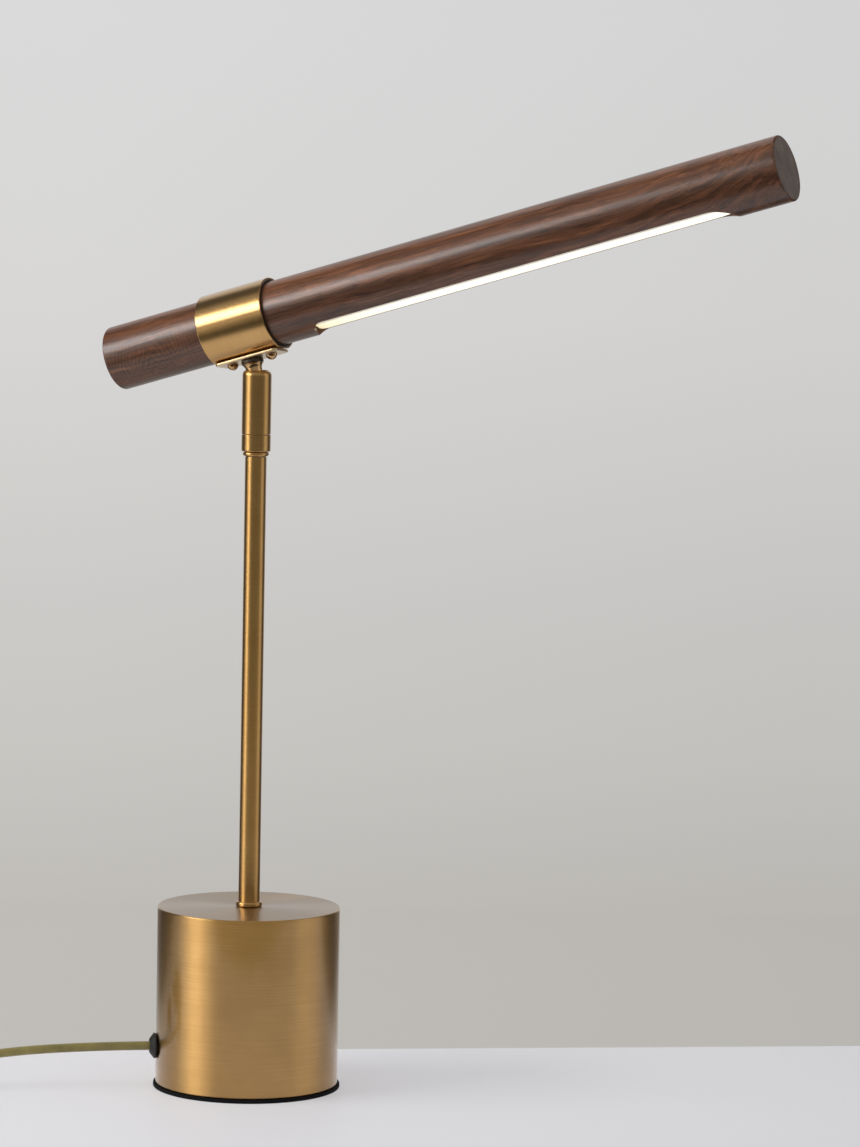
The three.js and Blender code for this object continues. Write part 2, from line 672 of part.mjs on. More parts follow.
// Saddle plate and its two round-head screws, and the brass ring with its rubber liner
function addRing(head) {
  const screwPlaces = [-saddleScrewSpacing / 2, saddleScrewSpacing / 2];
  const screwWay = (x) => disc(
    saddleScrewShankRadius + gap, saddleBottom - overrun, -barRadius + saddleScrewShankLength, smallFacets,
  ).translate(x, 0, 0);
  const spigotWay = disc(neckSpigotRadius + runningGap, saddleBottom - overrun, 0, smallFacets);
  const nutWay = () => disc(nutPocketRadius, -ringRadius, 0, stemFacets);
  const plate = slab(roundedOutline(saddleLength, saddleWidth, saddleCornerRadius), saddleBottom, saddleTop);
  place('saddle_plate', cut(plate, spigotWay, ...screwPlaces.map(screwWay)), brass, head);

  const half = ringLength / 2;
  const ring = turned([
    [ringInner, -half], [ringRadius - ringEdge, -half], [ringRadius, -half + ringEdge],
    [ringRadius, half - ringEdge], [ringRadius - ringEdge, half], [ringInner, half],
  ], ringFacets, true).rotateY(Math.PI / 2);
  const milled = block(
    -half - overrun, half + overrun, -ringRadius, ringRadius, -ringRadius - overrun, -ringFlat,
  );
  place('head_ring', cut(ring, milled, nutWay(), ...screwPlaces.map(screwWay)), brass, head);
  const liner = tube(ringInner - gap, barRadius + gap, -half, half, ringFacets).rotateY(Math.PI / 2);
  place('ring_liner', cut(liner, nutWay(), ...screwPlaces.map(screwWay)), rubber, head);

  const headDrop = saddleBottom - gap;
  const domeRadius = (saddleScrewHeadRadius ** 2 + saddleScrewHeadHeight ** 2) / (2 * saddleScrewHeadHeight);
  const domeMiddle = headDrop - saddleScrewHeadHeight + domeRadius;
  const rimAngle = THREE.MathUtils.radToDeg(Math.asin(saddleScrewHeadRadius / domeRadius)) - 90;
  const shankTop = -barRadius + saddleScrewShankLength - gap;
  const screw = turned([
    ...arc(0, domeMiddle, domeRadius, -90, rimAngle, arcSteps),
    [saddleScrewShankRadius, headDrop], [saddleScrewShankRadius, shankTop], [0, shankTop],
  ], smallFacets, false);
  const slotTop = headDrop - saddleScrewHeadHeight + screwSlotDepth;
  const slotTool = block(
    -saddleScrewHeadRadius - overrun, saddleScrewHeadRadius + overrun, -screwSlotWidth / 2, screwSlotWidth / 2,
    headDrop - saddleScrewHeadHeight - overrun, slotTop,
  );
  ['left', 'right'].forEach((side, i) => {
    place(`saddle_screw_${side}`, cut(screw.clone(), slotTool.clone()), brass, head).position.x = screwPlaces[i];
  });
  return { screwPlaces, screwWay };
}

// Outline of the scooped flat on the bar's underside, drawn in by inset
function scoopOutline(inset) {
  const half = scoopHalfWidth - inset;
  const end = scoopEndLength - inset;
  const [left, right] = [scoopStart + scoopEndLength, scoopStart + scoopLength - scoopEndLength];
  const steps = 2 * arcSteps;
  const ends = (middle, from, to) => arc(0, 0, 1, from, to, steps).map(([x, y]) => [middle + end * x, half * y]);
  return outlineOf([...ends(right, -90, 90), ...ends(left, 90, 270)]);
}

// Wooden bar: a turned rod with a scooped flat, a groove for the light and a pocket for the neck nut
function addBar(head, ways) {
  const [start, end] = [-neckFromBarEnd, barLength - neckFromBarEnd];
  const rounding = barEdgeRadius;
  const rodShape = turned([
    [0, start], ...arc(barRadius - rounding, start + rounding, rounding, -90, 0, arcSteps),
    ...arc(barRadius - rounding, end - rounding, rounding, 0, 90, arcSteps), [0, end],
  ], barFacets, false).rotateY(Math.PI / 2);
  const scoop = slab(scoopOutline(0), -barRadius - overrun, flatHeight);
  const rebate = slab(scoopOutline(diffuserInset - gap), flatHeight - overrun, channelBottom);
  const grooveHalf = channelWidth / 2 + gap;
  const groove = block(
    channelStart - gap, channelStart + channelLength + gap, -grooveHalf, grooveHalf, flatHeight, channelTop + gap,
  );
  const nutPocket = disc(nutPocketRadius, -barRadius - overrun, leadTurnLevel() + leadBore, stemFacets);
  const wireWay = rod(leadBore, 0, channelStart + overrun, smallFacets, 'x').translate(0, 0, leadTurnLevel());
  const bar = cut(rodShape, scoop, rebate, groove, nutPocket, wireWay, ...ways.screwPlaces.map(ways.screwWay));
  place('wood_bar', bar, walnut, head);
}

function leadTurnLevel() {
  return (channelBottom + boardTop - boardThickness - ledHeight) / 2;
}

// Strip light: aluminium channel, board with its row of light chips, opal diffuser, and the lead to it
function addLight(head) {
  const half = channelWidth / 2;
  const profile = outlineOf([
    [-half, channelBottom], [-half + channelWall, channelBottom], [-half + channelWall, channelTop - channelWall],
    [half - channelWall, channelTop - channelWall], [half - channelWall, channelBottom], [half, channelBottom],
    [half, channelTop], [-half, channelTop],
  ]);
  const channel = slab(profile, 0, channelLength).rotateX(Math.PI / 2).rotateZ(Math.PI / 2);
  place('led_channel', channel.translate(channelStart, 0, 0), aluminium, head);

  const boardHalf = half - channelWall - boardSideRoom;
  const boardStart = channelStart + channelWall;
  const boardLength = channelLength - 2 * channelWall;
  const base = block(
    boardStart, boardStart + boardLength, -boardHalf, boardHalf, boardTop - boardThickness, boardTop,
  );
  const spacing = boardLength / ledCount;
  const chips = Array.from({ length: ledCount }, (_, i) => {
    const middle = boardStart + spacing * (i + 1) - spacing / 2;
    return block(
      middle - ledLength / 2, middle + ledLength / 2, -ledWidth / 2, ledWidth / 2,
      boardTop - boardThickness - ledHeight, boardTop - boardThickness / 2,
    );
  });
  place('led_board', join(base, ...chips), board, head);
  place('diffuser', slab(scoopOutline(diffuserInset), flatHeight, diffuserTop), opal, head);

  const bottom = nutTop + gap;
  const turn = leadTurnLevel();
  const reach = Math.abs(turn - bottom);
  const leadEnd = channelStart - gap;
  const route = [
    [0, 0, bottom + gap], [0, 0, bottom + reach / 4], [reach / 8, 0, turn - reach / 4],
    [reach / 2, 0, turn], [reach, 0, turn], [leadEnd / 2 + reach / 2, 0, turn], [leadEnd, 0, turn],
  ];
  place('head_lead', along(route, leadRadius, leadFacets, headLeadSteps), leadSheath, head);
}

// Lead inside the lamp, from the driver up the stem to the top of the spigot
function addStemLead({ driverEnd, driverTop }) {
  const azimuth = degrees(cordExitAzimuth);
  const start = driverEnd - driverLength / 2;
  const out = (distance, height) => [distance * Math.cos(azimuth), distance * Math.sin(azimuth), height];
  const rise = nippleBottomHeight() - driverTop;
  const route = [
    out(start, driverTop + gap), out(start, driverTop + gap + rise / 4), out(start / 2, driverTop + rise / 2),
    out(0, driverTop + rise * 3 / 4), [0, 0, nippleBottomHeight()], [0, 0, baseHeight],
    [0, 0, (baseHeight + stemTop) / 2], [0, 0, stemTop], [0, 0, spigotTop],
  ];
  place('stem_lead', along(route, leadRadius, leadFacets, 2 * stemLeadSteps), leadSheath);
}

function nippleBottomHeight() {
  return weightNutBottom - gap;
}

// In-line switch: two hollow half shells, a rocker in the upper one and two screws from below
function addSwitch() {
  const unit = new THREE.Group();
  unit.position.set(switchPlace[0], switchPlace[1], 0);
  lamp.add(unit);
  const outline = roundedOutline(switchLength, switchWidth, switchCornerRadius);
  const hollow = roundedOutline(
    switchLength - 2 * switchWall, switchWidth - 2 * switchWall, switchCornerRadius - switchWall,
  );
  const cordWay = () => rod(cordBore, -switchLength, switchLength, smallFacets, 'x').translate(0, 0, switchMiddle);
  const bossPlaces = [-1, 1].map((side) => side * (switchLength / 2 - switchScrewInset));
  const bossRadius = switchScrewHeadRadius + gap + switchWall / 2;
  const bossSide = (switchWidth - switchWall) / 2 - bossRadius;
  const lowerTop = switchMiddle - gap / 2;
  const upperBottom = switchMiddle + gap / 2;
  const bevelled = (bottom, top) => {
    const radius = switchEdgeRadius;
    const geometry = new THREE.ExtrudeGeometry(outline, {
      depth: top - bottom - radius, bevelEnabled: true, bevelThickness: radius, bevelSize: radius,
      bevelOffset: -radius, bevelSegments: 2, steps: 1,
    });
    return geometry;
  };
  const upperShape = bevelled(upperBottom, switchHeight);
  const trimTool = block(
    -switchLength, switchLength, -switchWidth, switchWidth, upperBottom - switchHeight, upperBottom,
  );
  upperShape.translate(0, 0, upperBottom);
  const lowerTrim = block(
    -switchLength, switchLength, -switchWidth, switchWidth, lowerTop, lowerTop + switchHeight,
  );
  const lowerShape = bevelled(0, lowerTop).rotateX(Math.PI).translate(0, 0, lowerTop);
  const cavity = slab(hollow, switchWall, switchHeight - switchWall);
  const bosses = bossPlaces.map((x) => disc(bossRadius, switchWall / 2, lowerTop, smallFacets).translate(x, bossSide, 0));
  const screwWays = bossPlaces.map((x) => disc(
    switchScrewRadius + gap, -overrun, switchMiddle + switchWall, smallFacets,
  ).translate(x, bossSide, 0));
  const headWays = bossPlaces.map((x) => disc(
    switchScrewHeadRadius + gap, -overrun, switchWall, smallFacets,
  ).translate(x, bossSide, 0));
  const lower = cut(lowerShape, lowerTrim, cavity);
  const lowerFull = cut(join(lower, ...bosses), ...screwWays, ...headWays, cordWay());
  place('switch_lower_shell', lowerFull, blackPlastic, unit);
  const topBosses = bossPlaces.map((x) => disc(
    bossRadius, upperBottom, switchHeight - switchWall / 2, smallFacets,
  ).translate(x, bossSide, 0));
  const window = block(
    -rockerLength / 2 - runningGap, rockerLength / 2 + runningGap,
    -rockerWidth / 2 - runningGap, rockerWidth / 2 + runningGap, switchMiddle, switchHeight + overrun,
  );
  const upper = cut(join(cut(upperShape, trimTool, cavity), ...topBosses), ...screwWays, window, cordWay());
  place('switch_upper_shell', upper, blackPlastic, unit);
  bossPlaces.forEach((x, i) => {
    const headTop = switchWall - gap;
    const screw = turned([
      [0, headTop / 2], [switchScrewHeadRadius, headTop / 2], [switchScrewHeadRadius, headTop],
      [switchScrewRadius, headTop], [switchScrewRadius, switchMiddle + switchWall - gap],
      [0, switchMiddle + switchWall - gap],
    ], smallFacets, false);
    place(`switch_screw_${i + 1}`, screw, steel, unit).position.set(x, bossSide, 0);
  });

  // The rocker's pivot line lies just under the lid; at rest its -X end is pressed down
  const rocker = new THREE.Group();
  rocker.position.z = switchHeight - switchWall;
  rocker.rotation.y = -degrees(rockerThrow);
  unit.add(rocker);
  const reach = rockerLength / 2 - rockerDepth * Math.sin(degrees(rockerThrow));
  const crown = switchWall + rockerRise;
  const side = outlineOf([
    [-reach / 2, -rockerDepth], [reach / 2, -rockerDepth], [reach, 0], [reach, crown],
    [0, crown - rockerRise / 2], [-reach, crown], [-reach, 0],
  ]);
  const body = slab(side, -rockerWidth / 2, rockerWidth / 2).rotateX(Math.PI / 2);
  place('switch_rocker', body, blackPlastic, rocker);
}

// Two-pin plug, lying flat, pins towards +X
function addPlug() {
  const unit = new THREE.Group();
  unit.position.set(plugFacePlace[0], plugFacePlace[1], 0);
  lamp.add(unit);
  const [face, tail] = [plugFaceWidth / 2, plugTailWidth / 2];
  const bodyLength = plugLength - plugTailLength;
  const shoulder = bodyLength / 2;
  const edge = plugEdgeRadius;
  const outline = outlineOf([
    [0, -face + edge], [0, face - edge], [-edge, face], [-shoulder, face],
    [-bodyLength, tail + edge], [-bodyLength, -tail - edge], [-shoulder, -face], [-edge, -face],
  ]);
  const body = slab(outline, 0, plugThickness);
  const tailHeight = plugThickness * plugTailHeightShare;
  const tailBlock = block(
    -plugLength, -bodyLength + overrun, -tail, tail, plugMiddle - tailHeight / 2, plugMiddle + tailHeight / 2,
  );
  const pinPlaces = [plugPinSpacing / 2, -plugPinSpacing / 2];
  const rootDepth = plugPinLength / 2;
  const pinWays = pinPlaces.map((y) => rod(
    plugPinRadius + gap, -rootDepth - gap, overrun, smallFacets, 'x',
  ).translate(0, y, plugMiddle));
  const cordWay = rod(cordBore, -plugLength - overrun, -bodyLength, smallFacets, 'x').translate(0, 0, plugMiddle);
  place('plug_body', cut(join(body, tailBlock), ...pinWays, cordWay), blackPlastic, unit);
  const tip = plugPinRadius * plugPinTipShare;
  const pin = turned([
    [0, -rootDepth], [plugPinRadius, -rootDepth], [plugPinRadius, plugPinLength - 2 * tip],
    [plugPinRadius - tip, plugPinLength], [0, plugPinLength],
  ], smallFacets, false).rotateY(Math.PI / 2);
  ['left', 'right'].forEach((side, i) => {
    place(`plug_pin_${side}`, pin.clone(), steel, unit).position.set(0, pinPlaces[i], plugMiddle);
  });
}

// Centre line of the coil: in along the table, up a layer in half a turn, and out again on top
function coilLine() {
  const low = cordRadius + gap / 2;
  const reversal = coilTurnsPerLayer + 1 / 4;
  const turns = 2 * reversal;
  const steps = Math.round(turns * coilLoopSteps);
  const innerRadius = coilOuterRadius - coilPitch * reversal;
  const points = [];
  for (let i = 0; i <= steps; i += 1) {
    const turn = turns * i / steps;
    const climb = THREE.MathUtils.clamp(2 * (turn - coilTurnsPerLayer), 0, 1);
    const radius = innerRadius + coilPitch * Math.abs(turn - reversal);
    const angle = -Math.PI / 2 - 2 * Math.PI * turn;
    const height = low + coilPitch * THREE.MathUtils.smoothstep(climb, 0, 1);
    points.push(new THREE.Vector3(
      coilCentre[0] + radius * Math.cos(angle), coilCentre[1] + radius * Math.sin(angle), height,
    ));
  }
  const run = new THREE.Vector3(2 * cordRadius, 0, 0);
  points[0].set(coilCentre[0], coilCentre[1] - coilOuterRadius, low);
  points.unshift(points[0].clone().add(run));
  points.push(points[points.length - 1].clone().add(run));
  return points;
}

// A closed tube round a line of points that lies nearly flat
function tubeRound(points, radius, sides) {
  const corners = [];
  const faces = [];
  const up = new THREE.Vector3(0, 0, 1);
  points.forEach((point, i) => {
    const ahead = points[Math.min(i + 1, points.length - 1)];
    const behind = points[Math.max(i - 1, 0)];
    const heading = ahead.clone().sub(behind).normalize();
    const across = heading.clone().cross(up).normalize();
    const rise = across.clone().cross(heading);
    for (let s = 0; s < sides; s += 1) {
      const angle = 2 * Math.PI * (s + 0.5) / sides;
      const corner = point.clone().addScaledVector(across, radius * Math.cos(angle));
      corners.push(...corner.addScaledVector(rise, radius * Math.sin(angle)).toArray());
    }
  });
  const ring = (i, s) => i * sides + s % sides;
  for (let i = 0; i + 1 < points.length; i += 1) {
    for (let s = 0; s < sides; s += 1) {
      faces.push(ring(i, s), ring(i, s + 1), ring(i + 1, s), ring(i + 1, s), ring(i, s + 1), ring(i + 1, s + 1));
    }
  }
  const last = points.length - 1;
  for (let s = 1; s + 1 < sides; s += 1) {
    faces.push(ring(0, 0), ring(0, s + 1), ring(0, s));
    faces.push(ring(last, 0), ring(last, s), ring(last, s + 1));
  }
  const geometry = new THREE.BufferGeometry();
  geometry.setAttribute('position', new THREE.Float32BufferAttribute(corners, 3));
  geometry.setIndex(faces);
  return geometry;
}

// Least distance between parts of the line that are over half a loop apart, less the cord's width
function leastSelfGap(points) {
  const apart = coilLoopSteps / 2;
  let least = Infinity;
  for (let i = 0; i < points.length; i += 1) {
    for (let j = i + apart; j < points.length; j += 1) least = Math.min(least, points[i].distanceTo(points[j]));
  }
  return least - 2 * cordRadius;
}

// Free lead: out of the grommet to the switch, on to the coil, and from the coil to the plug
function addCord() {
  const azimuth = degrees(cordExitAzimuth);
  const straight = 2 * cordRadius;
  const exit = (distance) => [distance * Math.cos(azimuth), distance * Math.sin(azimuth), cordExitHeight];
  const exitStart = baseRadius + grommetNoseLength + gap;
  const inX = switchPlace[0] + switchLength / 2 + gap;
  const outX = switchPlace[0] - switchLength / 2 - gap;
  const line = coilLine();
  const coilIn = line[0];
  const coilOut = line[line.length - 1];
  const plugX = plugFacePlace[0] - plugLength - gap;
  const steps = { leadIn: 36, link: 8, tail: 12 };
  place('cord_lead_in', along([
    exit(exitStart), exit(exitStart + straight), ...leadInRoute,
    [inX + straight, switchPlace[1], switchMiddle], [inX, switchPlace[1], switchMiddle],
  ], cordRadius, cordFacets, steps.leadIn), cordSheath);
  place('cord_link', along([
    [outX, switchPlace[1], switchMiddle], [outX - straight, switchPlace[1], switchMiddle], ...linkRoute,
    [coilIn.x + straight + gap, coilIn.y, coilIn.z], [coilIn.x + gap, coilIn.y, coilIn.z],
  ], cordRadius, cordFacets, steps.link), cordSheath);
  place('cord_coil', tubeRound(line, cordRadius, coilTubeSides), cordSheath);
  place('cord_tail', along([
    [coilOut.x + gap, coilOut.y, coilOut.z], [coilOut.x + straight + gap, coilOut.y, coilOut.z], ...tailRoute,
    [plugX - straight, plugFacePlace[1], plugMiddle], [plugX, plugFacePlace[1], plugMiddle],
  ], cordRadius, cordFacets, steps.tail), cordSheath);
  console.log(`coil: least gap to itself ${leastSelfGap(line).toFixed(2)} mm`);
}

// The head hangs on the neck, the neck leans in the cup, and the cup turns on the sleeve
function addSwivelAndHead() {
  const pan = new THREE.Group();
  pan.position.z = pivotHeight;
  pan.rotation.z = degrees(slotAzimuth);
  lamp.add(pan);
  const tilt = new THREE.Group();
  tilt.rotation.y = degrees(lean);
  pan.add(tilt);
  const head = new THREE.Group();
  head.position.z = armLength;
  head.rotation.z = degrees(headTurn);
  tilt.add(head);
  addCup(pan);
  addNeck(tilt);
  const ways = addRing(head);
  addBar(head, ways);
  addLight(head);
}

addFoot();
addDrum();
const driver = addCordEntry();
addStem();
addSleeve();
addSwivelAndHead();
addStemLead(driver);
addSwitch();
addPlug();
addCord();

export default lamp;
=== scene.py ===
import json
import math

import bmesh
import bpy
from mathutils import Matrix, Vector


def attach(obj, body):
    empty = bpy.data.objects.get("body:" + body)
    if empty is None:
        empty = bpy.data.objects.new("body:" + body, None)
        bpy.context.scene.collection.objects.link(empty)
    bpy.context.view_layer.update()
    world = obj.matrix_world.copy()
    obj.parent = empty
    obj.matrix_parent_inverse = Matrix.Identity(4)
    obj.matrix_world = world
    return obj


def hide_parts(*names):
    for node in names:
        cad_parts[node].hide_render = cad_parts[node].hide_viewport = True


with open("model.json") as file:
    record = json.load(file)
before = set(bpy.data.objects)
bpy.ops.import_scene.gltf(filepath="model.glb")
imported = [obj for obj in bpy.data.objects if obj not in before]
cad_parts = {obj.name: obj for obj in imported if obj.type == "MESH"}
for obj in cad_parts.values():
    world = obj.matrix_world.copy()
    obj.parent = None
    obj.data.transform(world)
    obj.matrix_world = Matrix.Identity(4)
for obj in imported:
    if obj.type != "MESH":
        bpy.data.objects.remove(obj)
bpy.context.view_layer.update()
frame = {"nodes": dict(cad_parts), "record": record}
scene = bpy.context.scene
mm = 0.001

# Camera: a long lens 2.4 m in front of the lamp, five degrees above the table and rolled by one degree.
# A point 265 mm up the lamp's axis lies at the anchor pixel of a picture of 860 by 1147 pixels.
picture_width, picture_height = 860, 1147
sensor_long_side = 36.0
focal_pixels = 4406.4
camera_distance = 2400 * mm
camera_elevation = math.radians(5.013)
camera_roll = math.radians(1.085)
anchor = Vector((0, 0, 265 * mm))
anchor_pixel = (253.583, 605.074)

forward = Vector((0, math.cos(camera_elevation), -math.sin(camera_elevation)))
level = Vector((1, 0, 0))
upright = level.cross(forward)
across = math.cos(camera_roll) * level + math.sin(camera_roll) * upright
above = math.cos(camera_roll) * upright - math.sin(camera_roll) * level
slide = (anchor_pixel[0] - picture_width / 2) / focal_pixels
lift = (picture_height / 2 - anchor_pixel[1]) / focal_pixels
camera_data = bpy.data.cameras.new("camera")
camera_data.lens = focal_pixels * sensor_long_side / picture_height
camera_data.sensor_width = sensor_long_side
camera_data.clip_end = 50
camera = bpy.data.objects.new("camera", camera_data)
scene.collection.objects.link(camera)
camera.matrix_world = (
    Matrix.Translation(anchor - camera_distance * (forward + slide * across + lift * above))
    @ Matrix((across, above, -forward)).transposed().to_4x4()
)
scene.camera = camera

# Mains lead: one round twin lead in a translucent olive-gold PVC sheath, 4.8 mm thick. It leaves the
# drum straight, comes down to the table, passes the in-line switch, and its spare length is wound in a
# flat coil of two layers; the last stretch goes to the plug that lies beside the coil.
lead_radius = 2.4
exit_azimuth, exit_height = math.radians(189.5), 22.6
exit_start, exit_nose, exit_straight = 52.2, 53.7, 58.8
switch_place, switch_middle, switch_length = (-258, -26), 8.5, 60
plug_place, plug_middle, plug_length = (-214, 52.4), 6.85, 36
lead_in_route = [
    (-63, -10.6, 22.6), (-78, -13.1, 22.4), (-94, -15.7, 22), (-110, -18.2, 21.3), (-126, -20.7, 20.1),
    (-141, -22.8, 18.2), (-154, -24.3, 15.1), (-166, -25.3, 11.2), (-177, -25.9, 7.3), (-188, -26, 4.5),
    (-199, -26, 3.6), (-209, -26, 5), (-218, -26, 7.6),
]
link_route = [(-298, -26, 7.5), (-306, -26, 5), (-314, -26, 3)]
tail_route = [(-315, 52.4, 7.2), (-306, 52.4, 5.2), (-297, 52.4, 3.6), (-288, 52.4, 3.2), (-277, 52.4, 4)]
coil_centre, coil_outer_radius, coil_pitch = (-327, 13.2), 39.2, 5.3
coil_low, turns_per_layer, loop_steps = 2.55, 3.5, 24


def exit_point(distance):
    """A point this far from the lamp's axis, on the line along which the lead leaves the drum"""
    return (distance * math.cos(exit_azimuth), distance * math.sin(exit_azimuth), exit_height)


def coil_route():
    """Spirals in, climbs one layer in the half turn where it reverses, and spirals out again"""
    reversal = turns_per_layer + 1 / 4
    inner = coil_outer_radius - coil_pitch * reversal
    points = [(coil_centre[0] + 2 * lead_radius, coil_centre[1] - coil_outer_radius, coil_low)]
    for step in range(round(2 * reversal * loop_steps) + 1):
        turn = step / loop_steps
        radius = inner + coil_pitch * abs(turn - reversal)
        angle = -math.pi / 2 - 2 * math.pi * turn
        climb = min(max(2 * (turn - turns_per_layer), 0), 1)
        height = coil_low + coil_pitch * climb * climb * (3 - 2 * climb)
        points.append((
            coil_centre[0] + radius * math.cos(angle), coil_centre[1] + radius * math.sin(angle), height,
        ))
    points.append((coil_centre[0] + 2 * lead_radius, coil_centre[1] + coil_outer_radius, points[-1][2]))
    return points


def linear(colour):
    """A colour written as sRGB hex, as the linear values that the nodes take"""
    parts = [int(colour[i:i + 2], 16) / 255 for i in (1, 3, 5)]
    return (*[c / 12.92 if c <= 0.04045 else ((c + 0.055) / 1.055) ** 2.4 for c in parts], 1)


def feed(made, links):
    """Sets a node's inputs, by name or number, to values, sockets or the first outputs of nodes

    From and To stand for both ends of a range.
    """
    for end in ("From", "To"):
        if end in links:
            low, high = links[end]
            links = {**links, f"{end} Min": low, f"{end} Max": high}
            del links[end]
    for name, value in links.items():
        if isinstance(value, bpy.types.Node):
            value = value.outputs[0]
        if isinstance(value, bpy.types.NodeSocket):
            made.id_data.links.new(value, made.inputs[name])
        else:
            made.inputs[name].default_value = value


def node(tree, kind, links=None, stops=None, **settings):
    """Adds a node with its links, settings and a ramp's stops; a shader node's kind is given in short"""
    made = tree.nodes.new(kind if "Node" in kind else f"ShaderNode{kind}")
    for name, value in settings.items():
        setattr(made, name, value)
    feed(made, links or {})
    for i, (share, colour) in enumerate(stops or []):
        stop = made.color_ramp.elements[i] if i < 2 else made.color_ramp.elements.new(share)
        stop.position, stop.color = share, linear(colour)
    return made


def finish(name, constants):
    """A material with its node tree, its shader with the constants set, and the piece's own coordinates"""
    material = bpy.data.materials.new(name)
    material.use_nodes = True
    tree = material.node_tree
    tree.nodes.clear()
    shader = node(tree, "BsdfPrincipled", constants)
    node(tree, "OutputMaterial", {"Surface": shader})
    return material, tree, shader, node(tree, "TexCoord").outputs["Object"]


def mottled(name, constants, tones, patches, detail, bump, depth, pits=None, dullness=None):
    """A plain finish: its tone drifts in patches, and so does its roughness where dullness is given"""
    material, tree, shader, place = finish(name, constants)
    drift = node(tree, "TexNoise", {"Vector": place, "Scale": 1 / (patches * mm), "Detail": detail})
    relief = drift
    if pits:
        relief = node(tree, "TexNoise", {"Vector": place, "Scale": 1 / (pits * mm), "Detail": 1})
    tint = node(tree, "ValToRGB", {"Fac": drift}, stops=tones)
    skin = node(tree, "Bump", {"Height": relief, "Strength": bump, "Distance": depth * mm})
    feed(shader, {"Base Color": tint, "Normal": skin})
    if dullness:
        feed(shader, {"Roughness": node(tree, "MapRange", {"Value": drift, "To": dullness})})
    return material


# A clear PVC sheath over gold-coloured cores: soft olive, a little light goes in, glossy skin
olive_gold_pvc = mottled("olive_gold_pvc", {
    "Roughness": 0.32, "IOR": 1.53, "Subsurface Weight": 0.25, "Subsurface Scale": 2 * mm,
    "Subsurface Radius": (1.0, 0.8, 0.35),
}, [(0.3, "#857a45"), (0.7, "#a09355")], patches=9, detail=3, bump=0.15, depth=0.1, pits=1.6)

lead_points = [
    exit_point(exit_start), exit_point(exit_straight), *lead_in_route,
    (switch_place[0] + switch_length / 2, switch_place[1], switch_middle), (*switch_place, switch_middle),
    (switch_place[0] - switch_length / 2, switch_place[1], switch_middle), *link_route,
    *coil_route(), *tail_route,
    (plug_place[0] - plug_length - 2 * lead_radius, plug_place[1], plug_middle),
    (plug_place[0] - plug_length + 2 * lead_radius, plug_place[1], plug_middle),
]
lead_curve = bpy.data.curves.new("mains_lead", "CURVE")
lead_curve.dimensions = "3D"
lead_curve.bevel_depth = lead_radius * mm
lead_curve.bevel_resolution = 5
lead_curve.resolution_u = 4
lead_curve.use_fill_caps = True
lead_line = lead_curve.splines.new("BEZIER")
lead_line.bezier_points.add(len(lead_points) - 1)
for knot, point in zip(lead_line.bezier_points, lead_points):
    knot.co = Vector(point) * mm
    knot.handle_left_type = knot.handle_right_type = "AUTO"
mains_lead = bpy.data.objects.new("mains_lead", lead_curve)
scene.collection.objects.link(mains_lead)
lead_curve.materials.append(olive_gold_pvc)
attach(mains_lead, "base")
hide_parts("cord_lead_in", "cord_link", "cord_coil", "cord_tail")

# In-line switch: two black ABS shells that meet in a fine seam round the lead, with grip ribs on both
# ends and a rocker between them. Two screws from below hold the shells together.
switch_width, switch_height, switch_corner, switch_edge, seam = 22, 17, 8, 2, 0.3
window_length, window_width, window_floor, window_corner, window_edge = 16.2, 9.2, 9.6, 1.2, 0.2
rocker_reach, rocker_width, rocker_depth, rocker_crown, rocker_dip = 6.8, 8, 5, 3.4, 0.8
rocker_pivot_height, rocker_throw, rocker_edge = 15.2, math.radians(8), 0.5
rib_count, rib_first, rib_step, rib_length, rib_width, rib_height, rib_root = 5, 12.5, 2.4, 12, 1, 0.7, 1
rib_corner, rib_crown = rib_width / 2.01, rib_width / 2.2
crease, same_point = math.radians(35), 1e-5
# How far a cutting tool goes past the surface that it cuts
overrun = 2


def oblong(length, width, corner, steps=6):
    """Points round a rectangle with round corners"""
    points = []
    for quarter, (side_x, side_y) in enumerate(((1, 1), (-1, 1), (-1, -1), (1, -1))):
        for step in range(steps + 1):
            angle = (quarter + step / steps) * math.pi / 2
            points.append((
                side_x * (length / 2 - corner) + corner * math.cos(angle),
                side_y * (width / 2 - corner) + corner * math.sin(angle),
            ))
    return points


def lofted(levels):
    """A closed solid through rings of equally many points, with a face over each end"""
    shape = bmesh.new()
    rings = [[shape.verts.new(point) for point in level] for level in levels]
    for low, high in zip(rings, rings[1:]):
        for i in range(len(low)):
            shape.faces.new((low[i - 1], low[i], high[i], high[i - 1]))
    shape.faces.new(rings[0])
    shape.faces.new(rings[-1])
    return shape


def cushion_block(length, width, corner, bottom, top, low_edge=0.1, high_edge=0.1, steps=4):
    """An upright block with round corners and rounded lower and upper edges

    A ring inside each end face and one just past each rounding keep the flats' shading even.
    """
    inner_share, wall_ring = 0.6, 0.2
    levels = []
    for edge, end, way in ((low_edge, bottom, 1), (high_edge, top, -1)):
        arc = [math.pi / 2 * step / steps for step in range(steps + 1)]
        rows = [(edge * (1 - math.sin(angle)), end + way * edge * (1 - math.cos(angle))) for angle in arc]
        rows = [(edge + inner_share * (corner - edge), end), *rows, (0, end + way * (edge + wall_ring))]
        levels += rows if way > 0 else rows[::-1]
    return lofted([
        [(x, y, height) for x, y in oblong(length - 2 * inset, width - 2 * inset, corner - inset)]
        for inset, height in levels
    ])


